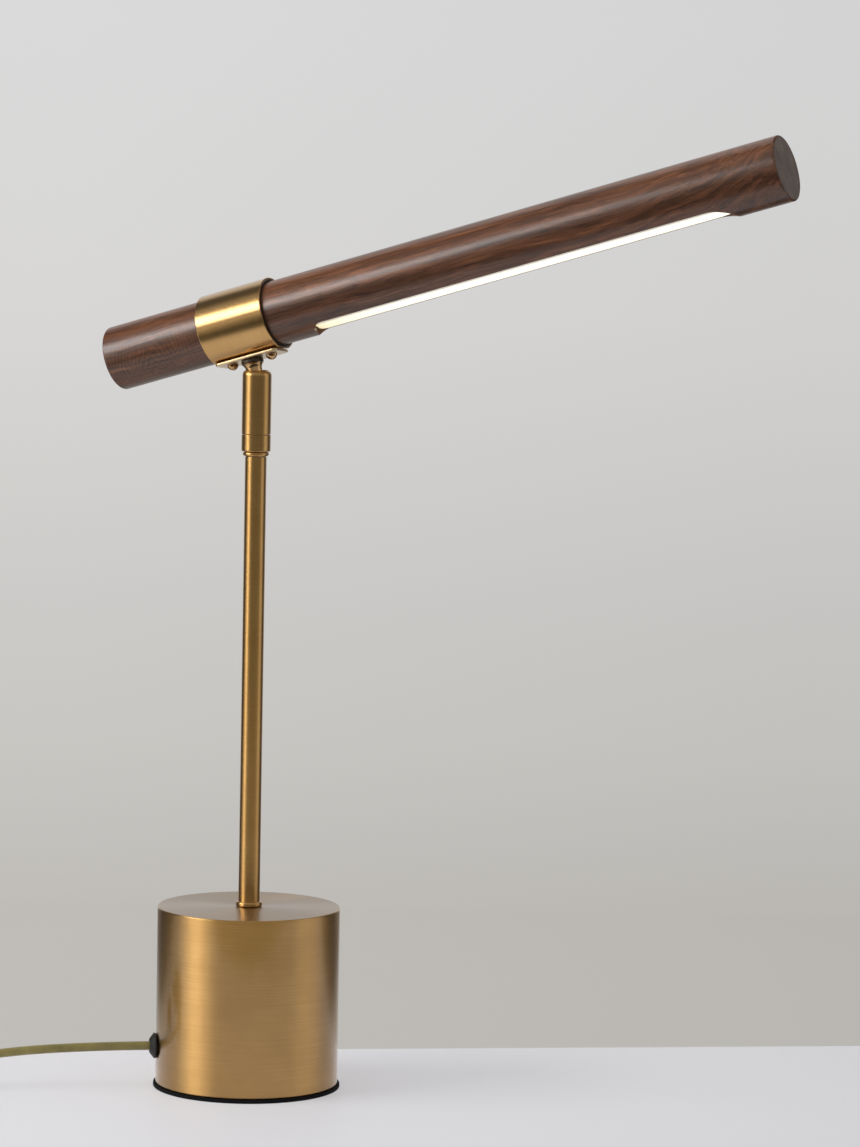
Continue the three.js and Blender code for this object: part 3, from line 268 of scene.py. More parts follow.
def piece(name, shape, place, *materials):
    """A smooth-shaded object of a shape in millimetres, with its place worked into its mesh"""
    bmesh.ops.remove_doubles(shape, verts=shape.verts, dist=same_point)
    bmesh.ops.recalc_face_normals(shape, faces=shape.faces)
    shape.transform(Matrix.Scale(mm, 4) @ place)
    mesh = bpy.data.meshes.new(name)
    shape.to_mesh(mesh)
    shape.free()
    mesh.shade_smooth()
    mesh.set_sharp_from_angle(angle=crease)
    made = bpy.data.objects.new(name, mesh)
    scene.collection.objects.link(made)
    for material in materials:
        mesh.materials.append(material)
    return made


def settled(made):
    """The object with its modifiers worked into a plain mesh"""
    graph = bpy.context.evaluated_depsgraph_get()
    mesh = bpy.data.meshes.new_from_object(made.evaluated_get(graph))
    made.modifiers.clear()
    made.data = mesh
    return made


def carved(made, *cutters):
    """The object with the cutters taken out of it"""
    for cutter in cutters:
        cut = made.modifiers.new("cut", "BOOLEAN")
        cut.operation, cut.solver, cut.object = "DIFFERENCE", "EXACT", cutter
    settled(made)
    for cutter in cutters:
        bpy.data.objects.remove(cutter)
    made.data.shade_smooth()
    made.data.set_sharp_from_angle(angle=crease)
    return made


def stands_for(made, body, slot, *nodes):
    """Rides on its body and takes the place of its CAD nodes; the slot is not used"""
    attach(made, body)
    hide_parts(*nodes)


# Moulded ABS: deep black, and a fine spark-eroded grain that breaks up the gloss
black_abs = mottled("moulded_black_abs", {
    "Roughness": 0.42, "IOR": 1.54,
}, [(0.3, "#111112"), (0.75, "#1c1c1d")], patches=0.35, detail=2, bump=0.3, depth=0.05)

switch_frame = Matrix.Translation((*switch_place, 0))
lower_shell = piece("switch_lower_shell_moulded", cushion_block(
    switch_length, switch_width, switch_corner, 0, switch_middle - seam / 2, switch_edge, seam,
), switch_frame, black_abs)
stands_for(lower_shell, "base", "black_plastic", "switch_lower_shell")
upper_shell = piece("switch_upper_shell_moulded", cushion_block(
    switch_length, switch_width, switch_corner, switch_middle + seam / 2, switch_height, seam, switch_edge,
), switch_frame, black_abs)
window = piece("window", cushion_block(
    window_length, window_width, window_corner, window_floor, switch_height + overrun,
    window_edge, window_edge,
), switch_frame)
carved(upper_shell, window)
stands_for(upper_shell, "base", "black_plastic", "switch_upper_shell")

rocker_side = [
    (-rocker_reach / 2, -rocker_depth), (rocker_reach / 2, -rocker_depth), (rocker_reach, 0),
    (rocker_reach, rocker_crown), (0, rocker_crown - rocker_dip), (-rocker_reach, rocker_crown),
    (-rocker_reach, 0),
]
rocker = piece("switch_rocker_moulded", lofted([
    [(x, side * rocker_width / 2, z) for x, z in rocker_side] for side in (-1, 1)
]), switch_frame @ Matrix.Translation((0, 0, rocker_pivot_height)) @ Matrix.Rotation(-rocker_throw, 4, "Y"),
    black_abs)
rounding = rocker.modifiers.new("rounding", "BEVEL")
rounding.width, rounding.segments = rocker_edge * mm, 3
settled(rocker)
rocker.data.shade_smooth()
stands_for(rocker, "rocker", "black_plastic", "switch_rocker")

row_tree = bpy.data.node_groups.new("row_of_pieces", "GeometryNodeTree")
row_inputs = {}
for label, kind in (
    ("Piece", "NodeSocketObject"), ("Count", "NodeSocketInt"), ("Start", "NodeSocketVector"),
    ("Step", "NodeSocketVector"), ("Finish", "NodeSocketMaterial"),
):
    made = row_tree.interface.new_socket(label, in_out="INPUT", socket_type=kind)
    row_inputs[label] = made.identifier
row_tree.interface.new_socket("Geometry", in_out="OUTPUT", socket_type="NodeSocketGeometry")
entry = node(row_tree, "NodeGroupInput").outputs
line = node(row_tree, "GeometryNodeMeshLine", {
    "Count": entry["Count"], "Start Location": entry["Start"], "Offset": entry["Step"],
}, mode="OFFSET")
source = node(row_tree, "GeometryNodeObjectInfo", {"Object": entry["Piece"]}, transform_space="ORIGINAL")
copies = node(row_tree, "GeometryNodeInstanceOnPoints", {
    "Points": line, "Instance": source.outputs["Geometry"],
})
solid = node(row_tree, "GeometryNodeRealizeInstances", {"Geometry": copies})
dressed = node(row_tree, "GeometryNodeSetMaterial", {"Geometry": solid, "Material": entry["Finish"]})
node(row_tree, "NodeGroupOutput", {"Geometry": dressed})


def row(name, template, count, start, step, material, place):
    """Copies of a template, in millimetres, along a straight line, as one plain mesh in its place"""
    made = bpy.data.objects.new(name, bpy.data.meshes.new(name))
    scene.collection.objects.link(made)
    nodes = made.modifiers.new("row", "NODES")
    nodes.node_group = row_tree
    for label, value in (
        ("Piece", template), ("Count", count), ("Start", start), ("Step", step), ("Finish", material),
    ):
        nodes[row_inputs[label]] = value
    settled(made)
    made.data.transform(Matrix.Scale(mm, 4) @ place)
    return made


def template_of(name, shape):
    """A shape kept in millimetres at the origin, for a row to copy"""
    return piece(name, shape, Matrix.Scale(1 / mm, 4))


rib = template_of("grip_rib", cushion_block(
    rib_width, rib_length, rib_corner, -rib_root, rib_height, high_edge=rib_crown,
))
for side, label in ((-1, "left"), (1, "right")):
    ribs = row(
        f"switch_grip_ribs_{label}", rib, rib_count, (side * rib_first, 0, 0), (side * rib_step, 0, 0),
        black_abs, switch_frame @ Matrix.Translation((0, 0, switch_height)),
    )
    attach(ribs, "base")
bpy.data.objects.remove(rib)

# Plug: a flat two-pin plug moulded onto the lead in black PVC, with a ribbed tail. Its nickelled pins
# have black sleeves for the half next to the face. Each section of its body is a place behind the face, a
# width, a thickness and a corner radius.
plug_width, plug_thickness, plug_body_length = 35.3, 13.7, 27
plug_sections = [
    (0, 31, 10, 3), (-0.6, 33.6, 12.4, 4.4), (-2, plug_width, plug_thickness, 5),
    (-12, plug_width, plug_thickness, 5), (-16, 33, 13.5, 5.5), (-21, 24, 12.6, 5.6), (-25.5, 15.5, 11, 5),
    (-plug_body_length, 11.4, 9.4, 4.6),
]
tail_ribs, tail_sizes, tail_corner = 5, ((10.6, 9.2), (9, 7.8)), 3.6
pin_radius, sleeve_radius, pin_length, pin_spacing, sleeve_length = 2, 1.9, 19, 18.6, 10
pin_root, pin_tip = -8, 1.4
# Lays a solid of revolution on its side, so that its axis points along X
lying = Matrix.Rotation(math.pi / 2, 4, "Y")


def oblong_ring(x, width, height, corner):
    """A rectangle with round corners that stands across X"""
    return [(x, y, z) for y, z in oblong(width, height, corner)]


def rounded(corners, steps=5, near=0.25):
    """A closed outline from corners (across, along, rounding); a long edge gets a point near each end"""
    outline = []
    for i, (x, y, rounding) in enumerate(corners):
        corner = Vector((x, y))
        if not rounding:
            outline.append(corner)
            continue
        before = (Vector(corners[i - 1][:2]) - corner).normalized()
        after = (Vector(corners[(i + 1) % len(corners)][:2]) - corner).normalized()
        half = before.angle(after) / 2
        middle = corner + (before + after).normalized() * rounding / math.sin(half)
        start = corner + before * rounding / math.tan(half) - middle
        end = corner + after * rounding / math.tan(half) - middle
        sweep = math.atan2(start.cross(end), start.dot(end))
        outline += [middle + Matrix.Rotation(sweep * step / steps, 2) @ start for step in range(steps + 1)]
    supported = []
    for i, point in enumerate(outline):
        following = outline[(i + 1) % len(outline)]
        along = following - point
        supported.append(point)
        if along.length > 4 * near:
            supported += [point + along.normalized() * near, following - along.normalized() * near]
    return supported


def tube(bore, radius, low, high, low_edge, high_edge, bore_edge=0):
    """The profile of a tube or ring with its edges rounded"""
    return [
        (bore, low, bore_edge), (radius, low, low_edge), (radius, high, high_edge), (bore, high, bore_edge),
    ]


def turned(corners, sides=96):
    """A solid of revolution about Z, with a map that runs round it for the brushing's direction"""
    on_axis = 1e-4
    outline = rounded(corners)
    shape = bmesh.new()
    turning = shape.loops.layers.uv.new("turning")
    angles = [2 * math.pi * i / sides for i in range(sides)]
    rings = []
    for radius, height in outline:
        if radius < on_axis:
            rings.append([shape.verts.new((0, 0, height))] * sides)
        else:
            rings.append([
                shape.verts.new((radius * math.cos(angle), radius * math.sin(angle), height))
                for angle in angles
            ])
    for i, high in enumerate(rings):
        low = rings[i - 1]
        for k in range(sides):
            following = (k + 1) % sides
            places = {
                low[k]: (k, 0), low[following]: (k + 1, 0), high[following]: (k + 1, 1), high[k]: (k, 1),
            }
            if len(places) > 2:
                face = shape.faces.new(places)
                for loop in face.loops:
                    u, v = places[loop.vert]
                    loop[turning].uv = (u / sides, (i + v) / len(rings))
    return shape


plug_frame = Matrix.Translation((*plug_place, plug_middle))
tail_step = (plug_length - plug_body_length) / (2 * tail_ribs)
for i in range(1, 2 * tail_ribs + 1):
    plug_sections.append((-plug_body_length - tail_step * i, *tail_sizes[i // 2 % 2], tail_corner))
plug = piece(
    "plug_moulded", lofted([oblong_ring(*section) for section in plug_sections]), plug_frame, black_abs,
)
stands_for(plug, "base", "black_plastic", "plug_body")

# Nickel plate over brass: bright and near white, with faint wiping marks
nickel, tree, shader, place = finish("nickel_plate", {"Metallic": 1, "Base Color": linear("#c9c6bf")})
wiping = node(tree, "TexNoise", {"Vector": place, "Scale": 1 / (1.5 * mm), "Detail": 4})
dulling = node(tree, "MapRange", {"Value": wiping, "To": (0.16, 0.3)})
feed(shader, {"Roughness": dulling})

for side, label in ((1, "left"), (-1, "right")):
    pin = piece(f"plug_pin_{label}_plated", turned([
        (0, pin_root, 0), (sleeve_radius, pin_root, 0), (sleeve_radius, sleeve_length, 0),
        (pin_radius, sleeve_length, 0), (pin_radius, pin_length, pin_tip), (0, pin_length, 0),
    ], sides=32), plug_frame @ Matrix.Translation((0, side * pin_spacing / 2, 0)) @ lying, nickel, black_abs)
    for face in pin.data.polygons:
        face.material_index = int(face.center.x < (plug_place[0] + sleeve_length) * mm)
    stands_for(pin, "base", "steel", f"plug_pin_{label}")

# Grommet: a black rubber bush pressed into the drum's wall, with a double-bevelled rim outside and a
# long tail inside that keeps the lead from bending sharply. Each corner of its profile is a distance from
# the lead's middle, a distance from the lamp's axis and a rounding.
grommet = piece("cord_grommet_moulded", turned([
    (2.55, 34.4, 0), (3.6, 34.4, 0.3), (5.8, 46, 0.4), (5.8, 47.9, 0.2), (4.6, 47.9, 0), (4.6, 50.3, 0),
    (7, 50.3, 0.25), (7, 51.3, 0.4), (3.9, 53.7, 0.5), (2.55, 53.7, 0.2),
], sides=48), Matrix.Rotation(exit_azimuth, 4, "Z") @ Matrix.Translation((0, 0, exit_height)) @ lying)

# Moulded rubber: near black, dull, with a faint bloom that lightens it in patches
black_rubber = mottled("moulded_black_rubber", {"IOR": 1.5}, [
    (0.35, "#121211"), (0.8, "#232322"),
], patches=3, detail=5, bump=0.25, depth=0.05, pits=0.4, dullness=(0.42, 0.62))
grommet.data.materials.append(black_rubber)
stands_for(grommet, "base", "rubber", "cord_grommet")

# Foot pad: a disc of black sponge rubber, die-cut and glued under the drum, standing 1.2 mm proud
# all round.
pad_radius, pad_thickness, pad_low_edge, pad_high_edge = 51.2, 2, 0.3, 0.5
# Sponge rubber: matt and blacker than the moulded kind, because its fine cells hold the light
sponge_rubber, tree, shader, place = finish("black_sponge_rubber", {
    "Roughness": 0.85, "IOR": 1.5, "Specular IOR Level": 0.2,
})
cells = node(tree, "TexVoronoi", {"Vector": place, "Scale": 1 / (0.5 * mm)})
tint = node(tree, "ValToRGB", {"Fac": cells}, stops=[(0.1, "#040404"), (0.7, "#100f0f")])
skin = node(tree, "Bump", {"Height": cells, "Strength": 0.3, "Distance": 0.1 * mm})
feed(shader, {"Base Color": tint, "Normal": skin})
foot_pad = piece("foot_pad_cut", turned([
    (0, 0, 0), (pad_radius, 0, pad_low_edge), (pad_radius, pad_thickness, pad_high_edge),
    (0, pad_thickness, 0),
], sides=160), Matrix(), sponge_rubber)
stands_for(foot_pad, "base", "rubber", "foot_pad")

# Drum: deep-drawn brass over an iron weight, brushed round its axis on a lathe and lacquered.
# Its outer edges are only broken, by 0.7 mm at the top and 0.6 mm at the bottom.
drum_radius, drum_bottom, drum_top, drum_hole = 50, 2.3, 99.4, 5.2
drum_inside, drum_ceiling, drum_top_edge, drum_low_edge = 48.4, 97.4, 0.7, 0.6
# A face lies across an axis where its normal has at least this share along it
squarely = 0.99


def in_frame(tree, place, held_by):
    """The piece's own coordinates as they are in a frame that is held in millimetres, such as the head's"""
    seen = held_by.inverted()
    return node(tree, "Mapping", {
        "Vector": place, "Location": seen.translation * mm, "Rotation": seen.to_euler(),
    }).outputs[0]


def satin_brass(name, dark, light, roughness, anisotropy, lacquer, brushing, held_by=None):
    """Lacquered brass brushed round its axis: gloss spreads across the fine lines, the tone drifts a little

    Lacquer is the clear coat's roughness and IOR, and brushing is the length, spacing and depth of the
    lines, drawn coarser than real ones so that they show.
    """
    line_length, line_spacing, line_depth = brushing
    quarter_turn, drift_size, swing_per_depth = 0.25, 22, 8
    material, tree, shader, place = finish(name, {
        "Metallic": 1, "Anisotropic": anisotropy, "Anisotropic Rotation": quarter_turn,
        "Coat Weight": 1, "Coat Roughness": lacquer[0], "Coat IOR": lacquer[1],
    })
    if held_by:
        place = in_frame(tree, place, held_by)
    fine = node(tree, "Mapping", {
        "Vector": place, "Scale": (1 / (line_length * mm), 1 / (line_length * mm), 1 / (line_spacing * mm)),
    })
    lines = node(tree, "TexNoise", {"Vector": fine, "Scale": 1, "Detail": 2, "Roughness": 0.6})
    drift = node(tree, "TexNoise", {"Vector": place, "Scale": 1 / (drift_size * mm), "Detail": 3})
    blend = node(tree, "Math", {0: lines, 1: drift}, operation="MULTIPLY")
    tone = node(tree, "ValToRGB", {"Fac": blend}, stops=[(0.1, dark), (0.42, light)])
    rough_swing = swing_per_depth * line_depth
    spread = node(tree, "MapRange", {
        "Value": lines, "From": (0.25, 0.75), "To": (roughness - rough_swing, roughness + rough_swing),
    })
    skin = node(tree, "Bump", {"Height": lines, "Strength": 0.5, "Distance": line_depth * mm})
    tangent = node(tree, "Tangent", direction_type="UV_MAP", uv_map="turning")
    feed(shader, {"Base Color": tone, "Roughness": spread, "Normal": skin, "Tangent": tangent})
    return material


# The wall is brushed long and fine under a thin clear lacquer. The flat top has duller lines and a darker,
# browner tone that is painted shade.
drum_brass = satin_brass(
    "brushed_brass_drum", "#ba8e4d", "#cc9f5b", roughness=0.38, anisotropy=0.9, lacquer=(0.1, 1.5),
    brushing=(45, 0.5, 0.003),
)
shaded_top_brass = satin_brass(
    "brushed_brass_drum_top_painted_shade", "#927046", "#a58252", roughness=0.34, anisotropy=0.85, lacquer=(0.3, 1.45),
    brushing=(45, 0.5, 0.004),
)
drum = piece("base_shell_drawn", turned([
    (drum_hole, drum_ceiling, 0), (drum_inside, drum_ceiling, 0.4), (drum_inside, drum_bottom, 0),
    (drum_radius, drum_bottom, drum_low_edge), (drum_radius, drum_top, drum_top_edge),
    (drum_hole, drum_top, 0),
], sides=192), Matrix(), drum_brass, shaded_top_brass)
# The top face gets the darker brass, a painted shade.
for face in drum.data.polygons:
    face.material_index = int(face.normal.z > squarely)
stands_for(drum, "base", "brass", "base_shell")

# Stem: a drawn brass tube on a turned foot collar, with a turned bead on top. Clamped to the drum by
# the threaded tube inside. Finer and brighter than the drum, because it is brushed with a finer belt.
# A row gives each tube's bore, radius, bottom, top and the roundings of its lower and upper edges.
stem_brass = satin_brass(
    "brushed_brass_stem", "#c0914a", "#cfa058", roughness=0.33, anisotropy=0.82, lacquer=(0.3, 1.5),
    brushing=(18, 0.3, 0.001),
)
for made_as, replaced, *sizes in (
    ("stem_foot_collar_turned", "stem_foot_collar", 6, 7.3, 99.7, 102.3, 0.5, 1.2),
    ("stem_tube_drawn", "stem_tube", 5, 5.9, 99.7, 346.1, 0.2, 0.2),
    ("bead_ring_turned", "bead_ring", 4.7, 7.2, 346.4, 348.7, 1.1, 1.1),
):
    stands_for(piece(made_as, turned(tube(*sizes)), Matrix(), stem_brass), "base", "brass", replaced)

# Swivel barrel: a fixed sleeve below and a turning cup above, which meet in a fine groove. The cup has
# a rounded shoulder, a round mouth for the neck, and behind it the slot that the neck folds into.
barrel_radius, barrel_bore, sleeve_bottom, sleeve_top = 8, 5, 349, 358
cup_bottom, pivot_height, cup_depth, cup_floor = 358.3, 385.2, 7.9, 3.4
cup_shoulder, cup_mouth, cup_socket, cup_bore = 3, 6, 6.3, 4.9
slot_half_width, slot_middle, sleeve_edge, groove_edge = 4.85, 1.34, 0.5, 0.2
# At rest the slot points back and to the left, the neck leans into it and the head is turned on the neck
slot_azimuth, neck_lean, head_turn = math.radians(136), math.radians(17.1), math.radians(-160)
lip_steps, slot_steps = 8, 16
barrel_brass = satin_brass(
    "brushed_brass_barrel", "#c0914a", "#cfa058", roughness=0.3, anisotropy=0.8, lacquer=(0.3, 1.5),
    brushing=(18, 0.3, 0.001),
)
sleeve = piece("swivel_sleeve_turned", turned(tube(
    barrel_bore, barrel_radius, sleeve_bottom, sleeve_top, sleeve_edge, groove_edge,
)), Matrix(), barrel_brass)
stands_for(sleeve, "base", "brass", "swivel_sleeve")

cup_frame = Matrix.Translation((0, 0, pivot_height)) @ Matrix.Rotation(slot_azimuth, 4, "Z")
cup_low = cup_bottom - pivot_height
lip_middle = barrel_radius - cup_shoulder
lip_angle = math.acos((cup_mouth - lip_middle) / cup_shoulder)
cup_profile = [(cup_bore, cup_low, 0), (barrel_radius, cup_low, groove_edge)]
for i in range(lip_steps + 1):
    angle = lip_angle * i / lip_steps
    height = cup_depth - cup_shoulder + cup_shoulder * math.sin(angle)
    cup_profile.append((lip_middle + cup_shoulder * math.cos(angle), height, 0))
cup_profile += [
    (cup_mouth, math.sqrt(cup_socket ** 2 - cup_mouth ** 2), 0), (cup_socket, 0, 0),
    (cup_socket, cup_low + cup_floor, 0), (cup_bore, cup_low + cup_floor, 0),
]
cup = piece("swivel_cup_turned", turned(cup_profile), cup_frame, barrel_brass)
slot_outline = [(slot_half_width, cup_depth + overrun), (-slot_half_width, cup_depth + overrun)]
for i in range(slot_steps + 1):
    angle = math.pi * i / slot_steps
    height = slot_middle - slot_half_width * math.sin(angle)
    slot_outline.append((-slot_half_width * math.cos(angle), height))
slot = piece("slot", lofted([
    [(distance, across_slot, height) for across_slot, height in slot_outline]
    for distance in (0, barrel_radius + overrun)
]), cup_frame)
carved(cup, slot)
stands_for(cup, "cup", "brass", "swivel_cup")

# Neck: turned brass, a ball in the cup and a shank that flares to the plate, with a darkened washer
# between them. The nut on its spigot, inside the ring, clamps the head.
neck_radius, ball_radius, shank_length, neck_top, neck_top_radius = 4.5, 6, 8.6, 11.4, 5.9
spigot_radius, spigot_top, arm_length = 3.5, 18.5, 34.8
washer_radius, washer_bore, washer_bottom, washer_top = 6.1, 3.8, 11.7, 13.7
washer_low_edge, washer_high_edge, ball_steps, flare_steps = 0.4, 0.3, 14, 6
neck_frame = cup_frame @ Matrix.Rotation(neck_lean, 4, "Y")
ball_sweep = math.acos(neck_radius / ball_radius) + math.pi / 2
neck_profile = [(0, -ball_radius, 0)]
for i in range(1, ball_steps + 1):
    angle = ball_sweep * i / ball_steps - math.pi / 2
    neck_profile.append((ball_radius * math.cos(angle), ball_radius * math.sin(angle), 0))
for i in range(flare_steps + 1):
    radius = neck_radius + (neck_top_radius - neck_radius) * (i / flare_steps) ** 2
    neck_profile.append((radius, shank_length + (neck_top - shank_length) * i / flare_steps, 0))
neck_profile += [(spigot_radius, neck_top, 0), (spigot_radius, spigot_top, 0), (0, spigot_top, 0)]
neck_brass = satin_brass(
    "polished_brass_neck", "#b88a4c", "#cda062", roughness=0.2, anisotropy=0.3, lacquer=(0.1, 1.7),
    brushing=(18, 0.3, 0.0005),
)
neck = piece("swivel_neck_turned", turned(neck_profile), neck_frame, neck_brass)
stands_for(neck, "neck", "brass", "swivel_neck", "tilt_pin_left", "tilt_pin_right", "neck_lead")
dark_brass = satin_brass(
    "darkened_brass", "#3a2c1c", "#57442c", roughness=0.4, anisotropy=0.3, lacquer=(0.4, 1.5),
    brushing=(8, 0.3, 0.002),
)
neck_washer = piece("neck_washer_turned", turned(tube(
    washer_bore, washer_radius, washer_bottom, washer_top, washer_low_edge, washer_high_edge,
)), neck_frame, dark_brass)
stands_for(neck_washer, "neck", "dark_brass", "neck_washer")

# Saddle plate: a small stamped brass plate under the ring, held to the bar by two round-head screws
# with straight slots. Its brass is painted paler than the brushed brass beside it, a painted highlight.
saddle_length, saddle_width, saddle_corner, saddle_edge = 38, 17, 2.5, 0.35
saddle_top, saddle_bottom = -19.4, -20.8
screw_spacing, screw_radius, screw_rise, screw_gap, dome_steps = 24, 3.2, 2.8, 0.3, 10
shank_radius, shank_reach, screw_slot, screw_slot_edge = 1.5, 6, 0.8, 0.05
screw_slot_corner = screw_slot / 2.1
head_frame = neck_frame @ Matrix.Translation((0, 0, arm_length)) @ Matrix.Rotation(head_turn, 4, "Z")
# Painted highlight: the plate's brass is paler than the rest, so that its near edge shows bright.
highlit_plate_brass = satin_brass(
    "brass_plate_painted_highlight", "#d8ba88", "#e6cb9e", roughness=0.36, anisotropy=0.2, lacquer=(0.3, 1.5),
    brushing=(18, 0.3, 0.001), held_by=head_frame,
)
saddle_plate = piece("saddle_plate_stamped", cushion_block(
    saddle_length, saddle_width, saddle_corner, saddle_bottom, saddle_top, saddle_edge, saddle_edge,
), head_frame, highlit_plate_brass)
saddle_plate.data.uv_layers.new(name="turning")
stands_for(saddle_plate, "head", "brass", "saddle_plate")

dome_radius = (screw_radius ** 2 + screw_rise ** 2) / (2 * screw_rise)
dome_angle = math.asin(screw_radius / dome_radius)
screw_profile = [(0, shank_reach, 0), (shank_radius, shank_reach, 0), (shank_radius, 0, 0)]
for i in range(dome_steps):
    angle = dome_angle * (1 - i / dome_steps)
    height = dome_radius * (1 - math.cos(angle)) - screw_rise
    screw_profile.append((dome_radius * math.sin(angle), height, 0))
screw_profile.append((0, -screw_rise, 0))
screw = template_of("screw", turned(screw_profile, sides=40))
slot_cutter = template_of("slot_cutter", cushion_block(
    2 * screw_radius + overrun, screw_slot, screw_slot_corner, -screw_rise - overrun / 2,
    screw_slot - screw_rise, screw_slot_edge, screw_slot_edge,
))
carved(screw, slot_cutter)
screws = row(
    "saddle_screws_turned", screw, 2, (-screw_spacing / 2, 0, saddle_bottom - screw_gap),
    (screw_spacing, 0, 0), neck_brass, head_frame,
)
bpy.data.objects.remove(screw)
stands_for(screws, "head", "brass", "saddle_screw_left", "saddle_screw_right")

# Head ring: a length of brass tube round the bar, brushed round its axis, with a milled flat for the
# plate. A black rubber liner shows as a dark line at both its ends.
ring_radius, ring_bore, ring_half, ring_edge, ring_bore_edge, ring_flat = 20, 18.8, 20, 0.3, 0.15, -19.1
bar_radius, liner_bore, liner_radius, liner_edge = 17.6, 17.7, 18.7, 0.2
along_bar = head_frame @ lying
ring_brass = satin_brass(
    "brushed_brass_ring", "#c49857", "#cfa362", roughness=0.25, anisotropy=0.6, lacquer=(0.2, 1.5),
    brushing=(30, 0.4, 0.0003), held_by=along_bar,
)
ring = piece("head_ring_turned", turned(tube(
    ring_bore, ring_radius, -ring_half, ring_half, ring_edge, ring_edge, ring_bore_edge,
), sides=160), along_bar, ring_brass)
flat_cutter = piece("flat_cutter", cushion_block(
    2 * (ring_half + overrun), 2 * ring_radius, 0.5, -ring_radius - overrun, ring_flat,
), head_frame)
carved(ring, flat_cutter)
stands_for(ring, "head", "brass", "head_ring")
liner = piece("ring_liner_moulded", turned(tube(
    liner_bore, liner_radius, -ring_half, ring_half, liner_edge, liner_edge,
), sides=160), along_bar, black_rubber)
stands_for(liner, "head", "rubber", "ring_liner")

# Wooden bar: a rod of dark rosewood, turned, oiled and rubbed to a satin. A flat is scooped out of its
# underside, round at its far end and blunt by the ring, with a rebate for the light in it. The end
# faces are bare end grain.
bar_start, bar_end, bar_edge, end_depth = -80, 320, 1, 0.2
scoop_start, scoop_stop, flat_height = 41.4, 290, -13.4
blunt_end, long_end, blunt_slant = 8, 16, 5
flat_half_width = math.sqrt(bar_radius ** 2 - flat_height ** 2)
diffuser_inset, diffuser_thickness, diffuser_edge = 0.9, 2.2, 0.3
rebate_inset, rebate_depth = 0.6, 2.5
end_steps = 24


def scoop_outline(inset, height):
    """The flat's outline from below: straight sides, a long round end and a blunt, slanted end"""
    half = flat_half_width - inset
    points = []
    for middle, end, slant, start in (
        (scoop_stop - long_end, long_end, 0, -90), (scoop_start + blunt_end, blunt_end, blunt_slant, 90),
    ):
        for i in range(end_steps + 1):
            angle = math.radians(start + 180 * i / end_steps)
            x = middle + (end - inset) * math.cos(angle) - slant * max(0, math.sin(angle))
            points.append((x, half * math.sin(angle), height))
    return points


# Oiled rosewood: near-black and orange-brown streaks that flare and bend down at the bar's far end, a
# curled figure on the lower half of its short end, fine open pores and a satin sheen. Its upper half is
# painted lighter, as painted light from above.
# The places are millimetres along the bar from the neck, and up from the bar's middle.
flare_start, bend_start, bend_drop, wander_size, least_wander, most_wander = 230, 225, 22, 55, 9, 36
curl_fade, curl_full, curl_top, curl_low, curl_spacing = -15, -35, 8, -4, 2
top_light_start, top_light_full, curl_shift = -4, 14, (52, 3.3, 7.7)
# A wave texture's rings are this far apart at a scale of 1
wave_period = 0.314
rosewood, tree, shader, place = finish("oiled_rosewood", {
    "IOR": 1.5, "Specular IOR Level": 0, "Coat Weight": 1, "Coat Roughness": 0.28, "Coat IOR": 1.6,
})
bar_place = in_frame(tree, place, head_frame)
along = node(tree, "SeparateXYZ", {"Vector": bar_place}).outputs
wander = node(tree, "TexNoise", {"Vector": bar_place, "Scale": 1 / (wander_size * mm), "Detail": 2})
wander_off = node(tree, "VectorMath", {
    0: wander.outputs["Color"], 1: (0.5, 0.5, 0.5),
}, operation="SUBTRACT")
flare = node(tree, "MapRange", {
    "Value": along["X"], "From": (flare_start * mm, bar_end * mm),
    "To": (least_wander * mm, most_wander * mm),
})
wandering = node(tree, "VectorMath", {0: wander_off, "Scale": flare}, operation="SCALE")
warped = node(tree, "VectorMath", {0: bar_place, 1: wandering}, operation="ADD")
near_end = node(tree, "MapRange", {"Value": along["X"], "From": (bend_start * mm, bar_end * mm)})
bend = node(tree, "Math", {0: near_end, 1: near_end}, operation="MULTIPLY")
bending = node(tree, "VectorMath", {0: (0, 0, -bend_drop * mm), "Scale": bend}, operation="SCALE")
warped = node(tree, "VectorMath", {0: warped, 1: bending}, operation="ADD")
figures = []
# The streaks, the pores and the thin lines: how long and how wide they are, and how they break up
for long_size, wide_size, detail, breaking, twist in (
    (150, 4.6, 6, 0.76, 0.3), (22, 0.7, 3, 0.6, 0), (70, 1.5, 3, 0.7, 0),
):
    drawn_out = node(tree, "Mapping", {
        "Vector": warped, "Scale": (1 / (long_size * mm), 1 / (wide_size * mm), 1 / (wide_size * mm)),
    })
    figures.append(node(tree, "TexNoise", {
        "Vector": drawn_out, "Scale": 1, "Detail": detail, "Roughness": breaking, "Distortion": twist,
    }))
streaks, fine, lines = figures
colour = node(tree, "ValToRGB", {"Fac": streaks}, stops=[
    (0.28, "#2c1a10"), (0.74, "#835434"), (0.4, "#422717"), (0.52, "#573520"), (0.63, "#6b4229"),
])
line_tone = node(tree, "MapRange", {"Value": lines, "From": (0.32, 0.68), "To": (0.7, 1.28)})
pores = node(tree, "MapRange", {"Value": fine, "From": (0.36, 0.5), "To": (0.6, 1.05)})
curl_place = node(tree, "Mapping", {
    "Vector": warped, "Location": tuple(v * mm for v in curl_shift), "Scale": (1, 0.55, 0.55),
})
curl = node(tree, "TexWave", {
    "Vector": curl_place, "Scale": wave_period / (curl_spacing * mm), "Distortion": 11, "Detail": 3,
    "Detail Scale": 0.9,
}, wave_type="RINGS", rings_direction="SPHERICAL")
curl_start = node(tree, "MapRange", {"Value": along["X"], "From": (curl_fade * mm, curl_full * mm)})
curl_depth = node(tree, "MapRange", {"Value": along["Z"], "From": (curl_top * mm, curl_low * mm)})
curl_reach = node(tree, "Math", {0: curl_start, 1: curl_depth}, operation="MULTIPLY")
curl_tone = node(tree, "MapRange", {"Value": curl.outputs["Fac"], "To": (0.76, 1.22)})
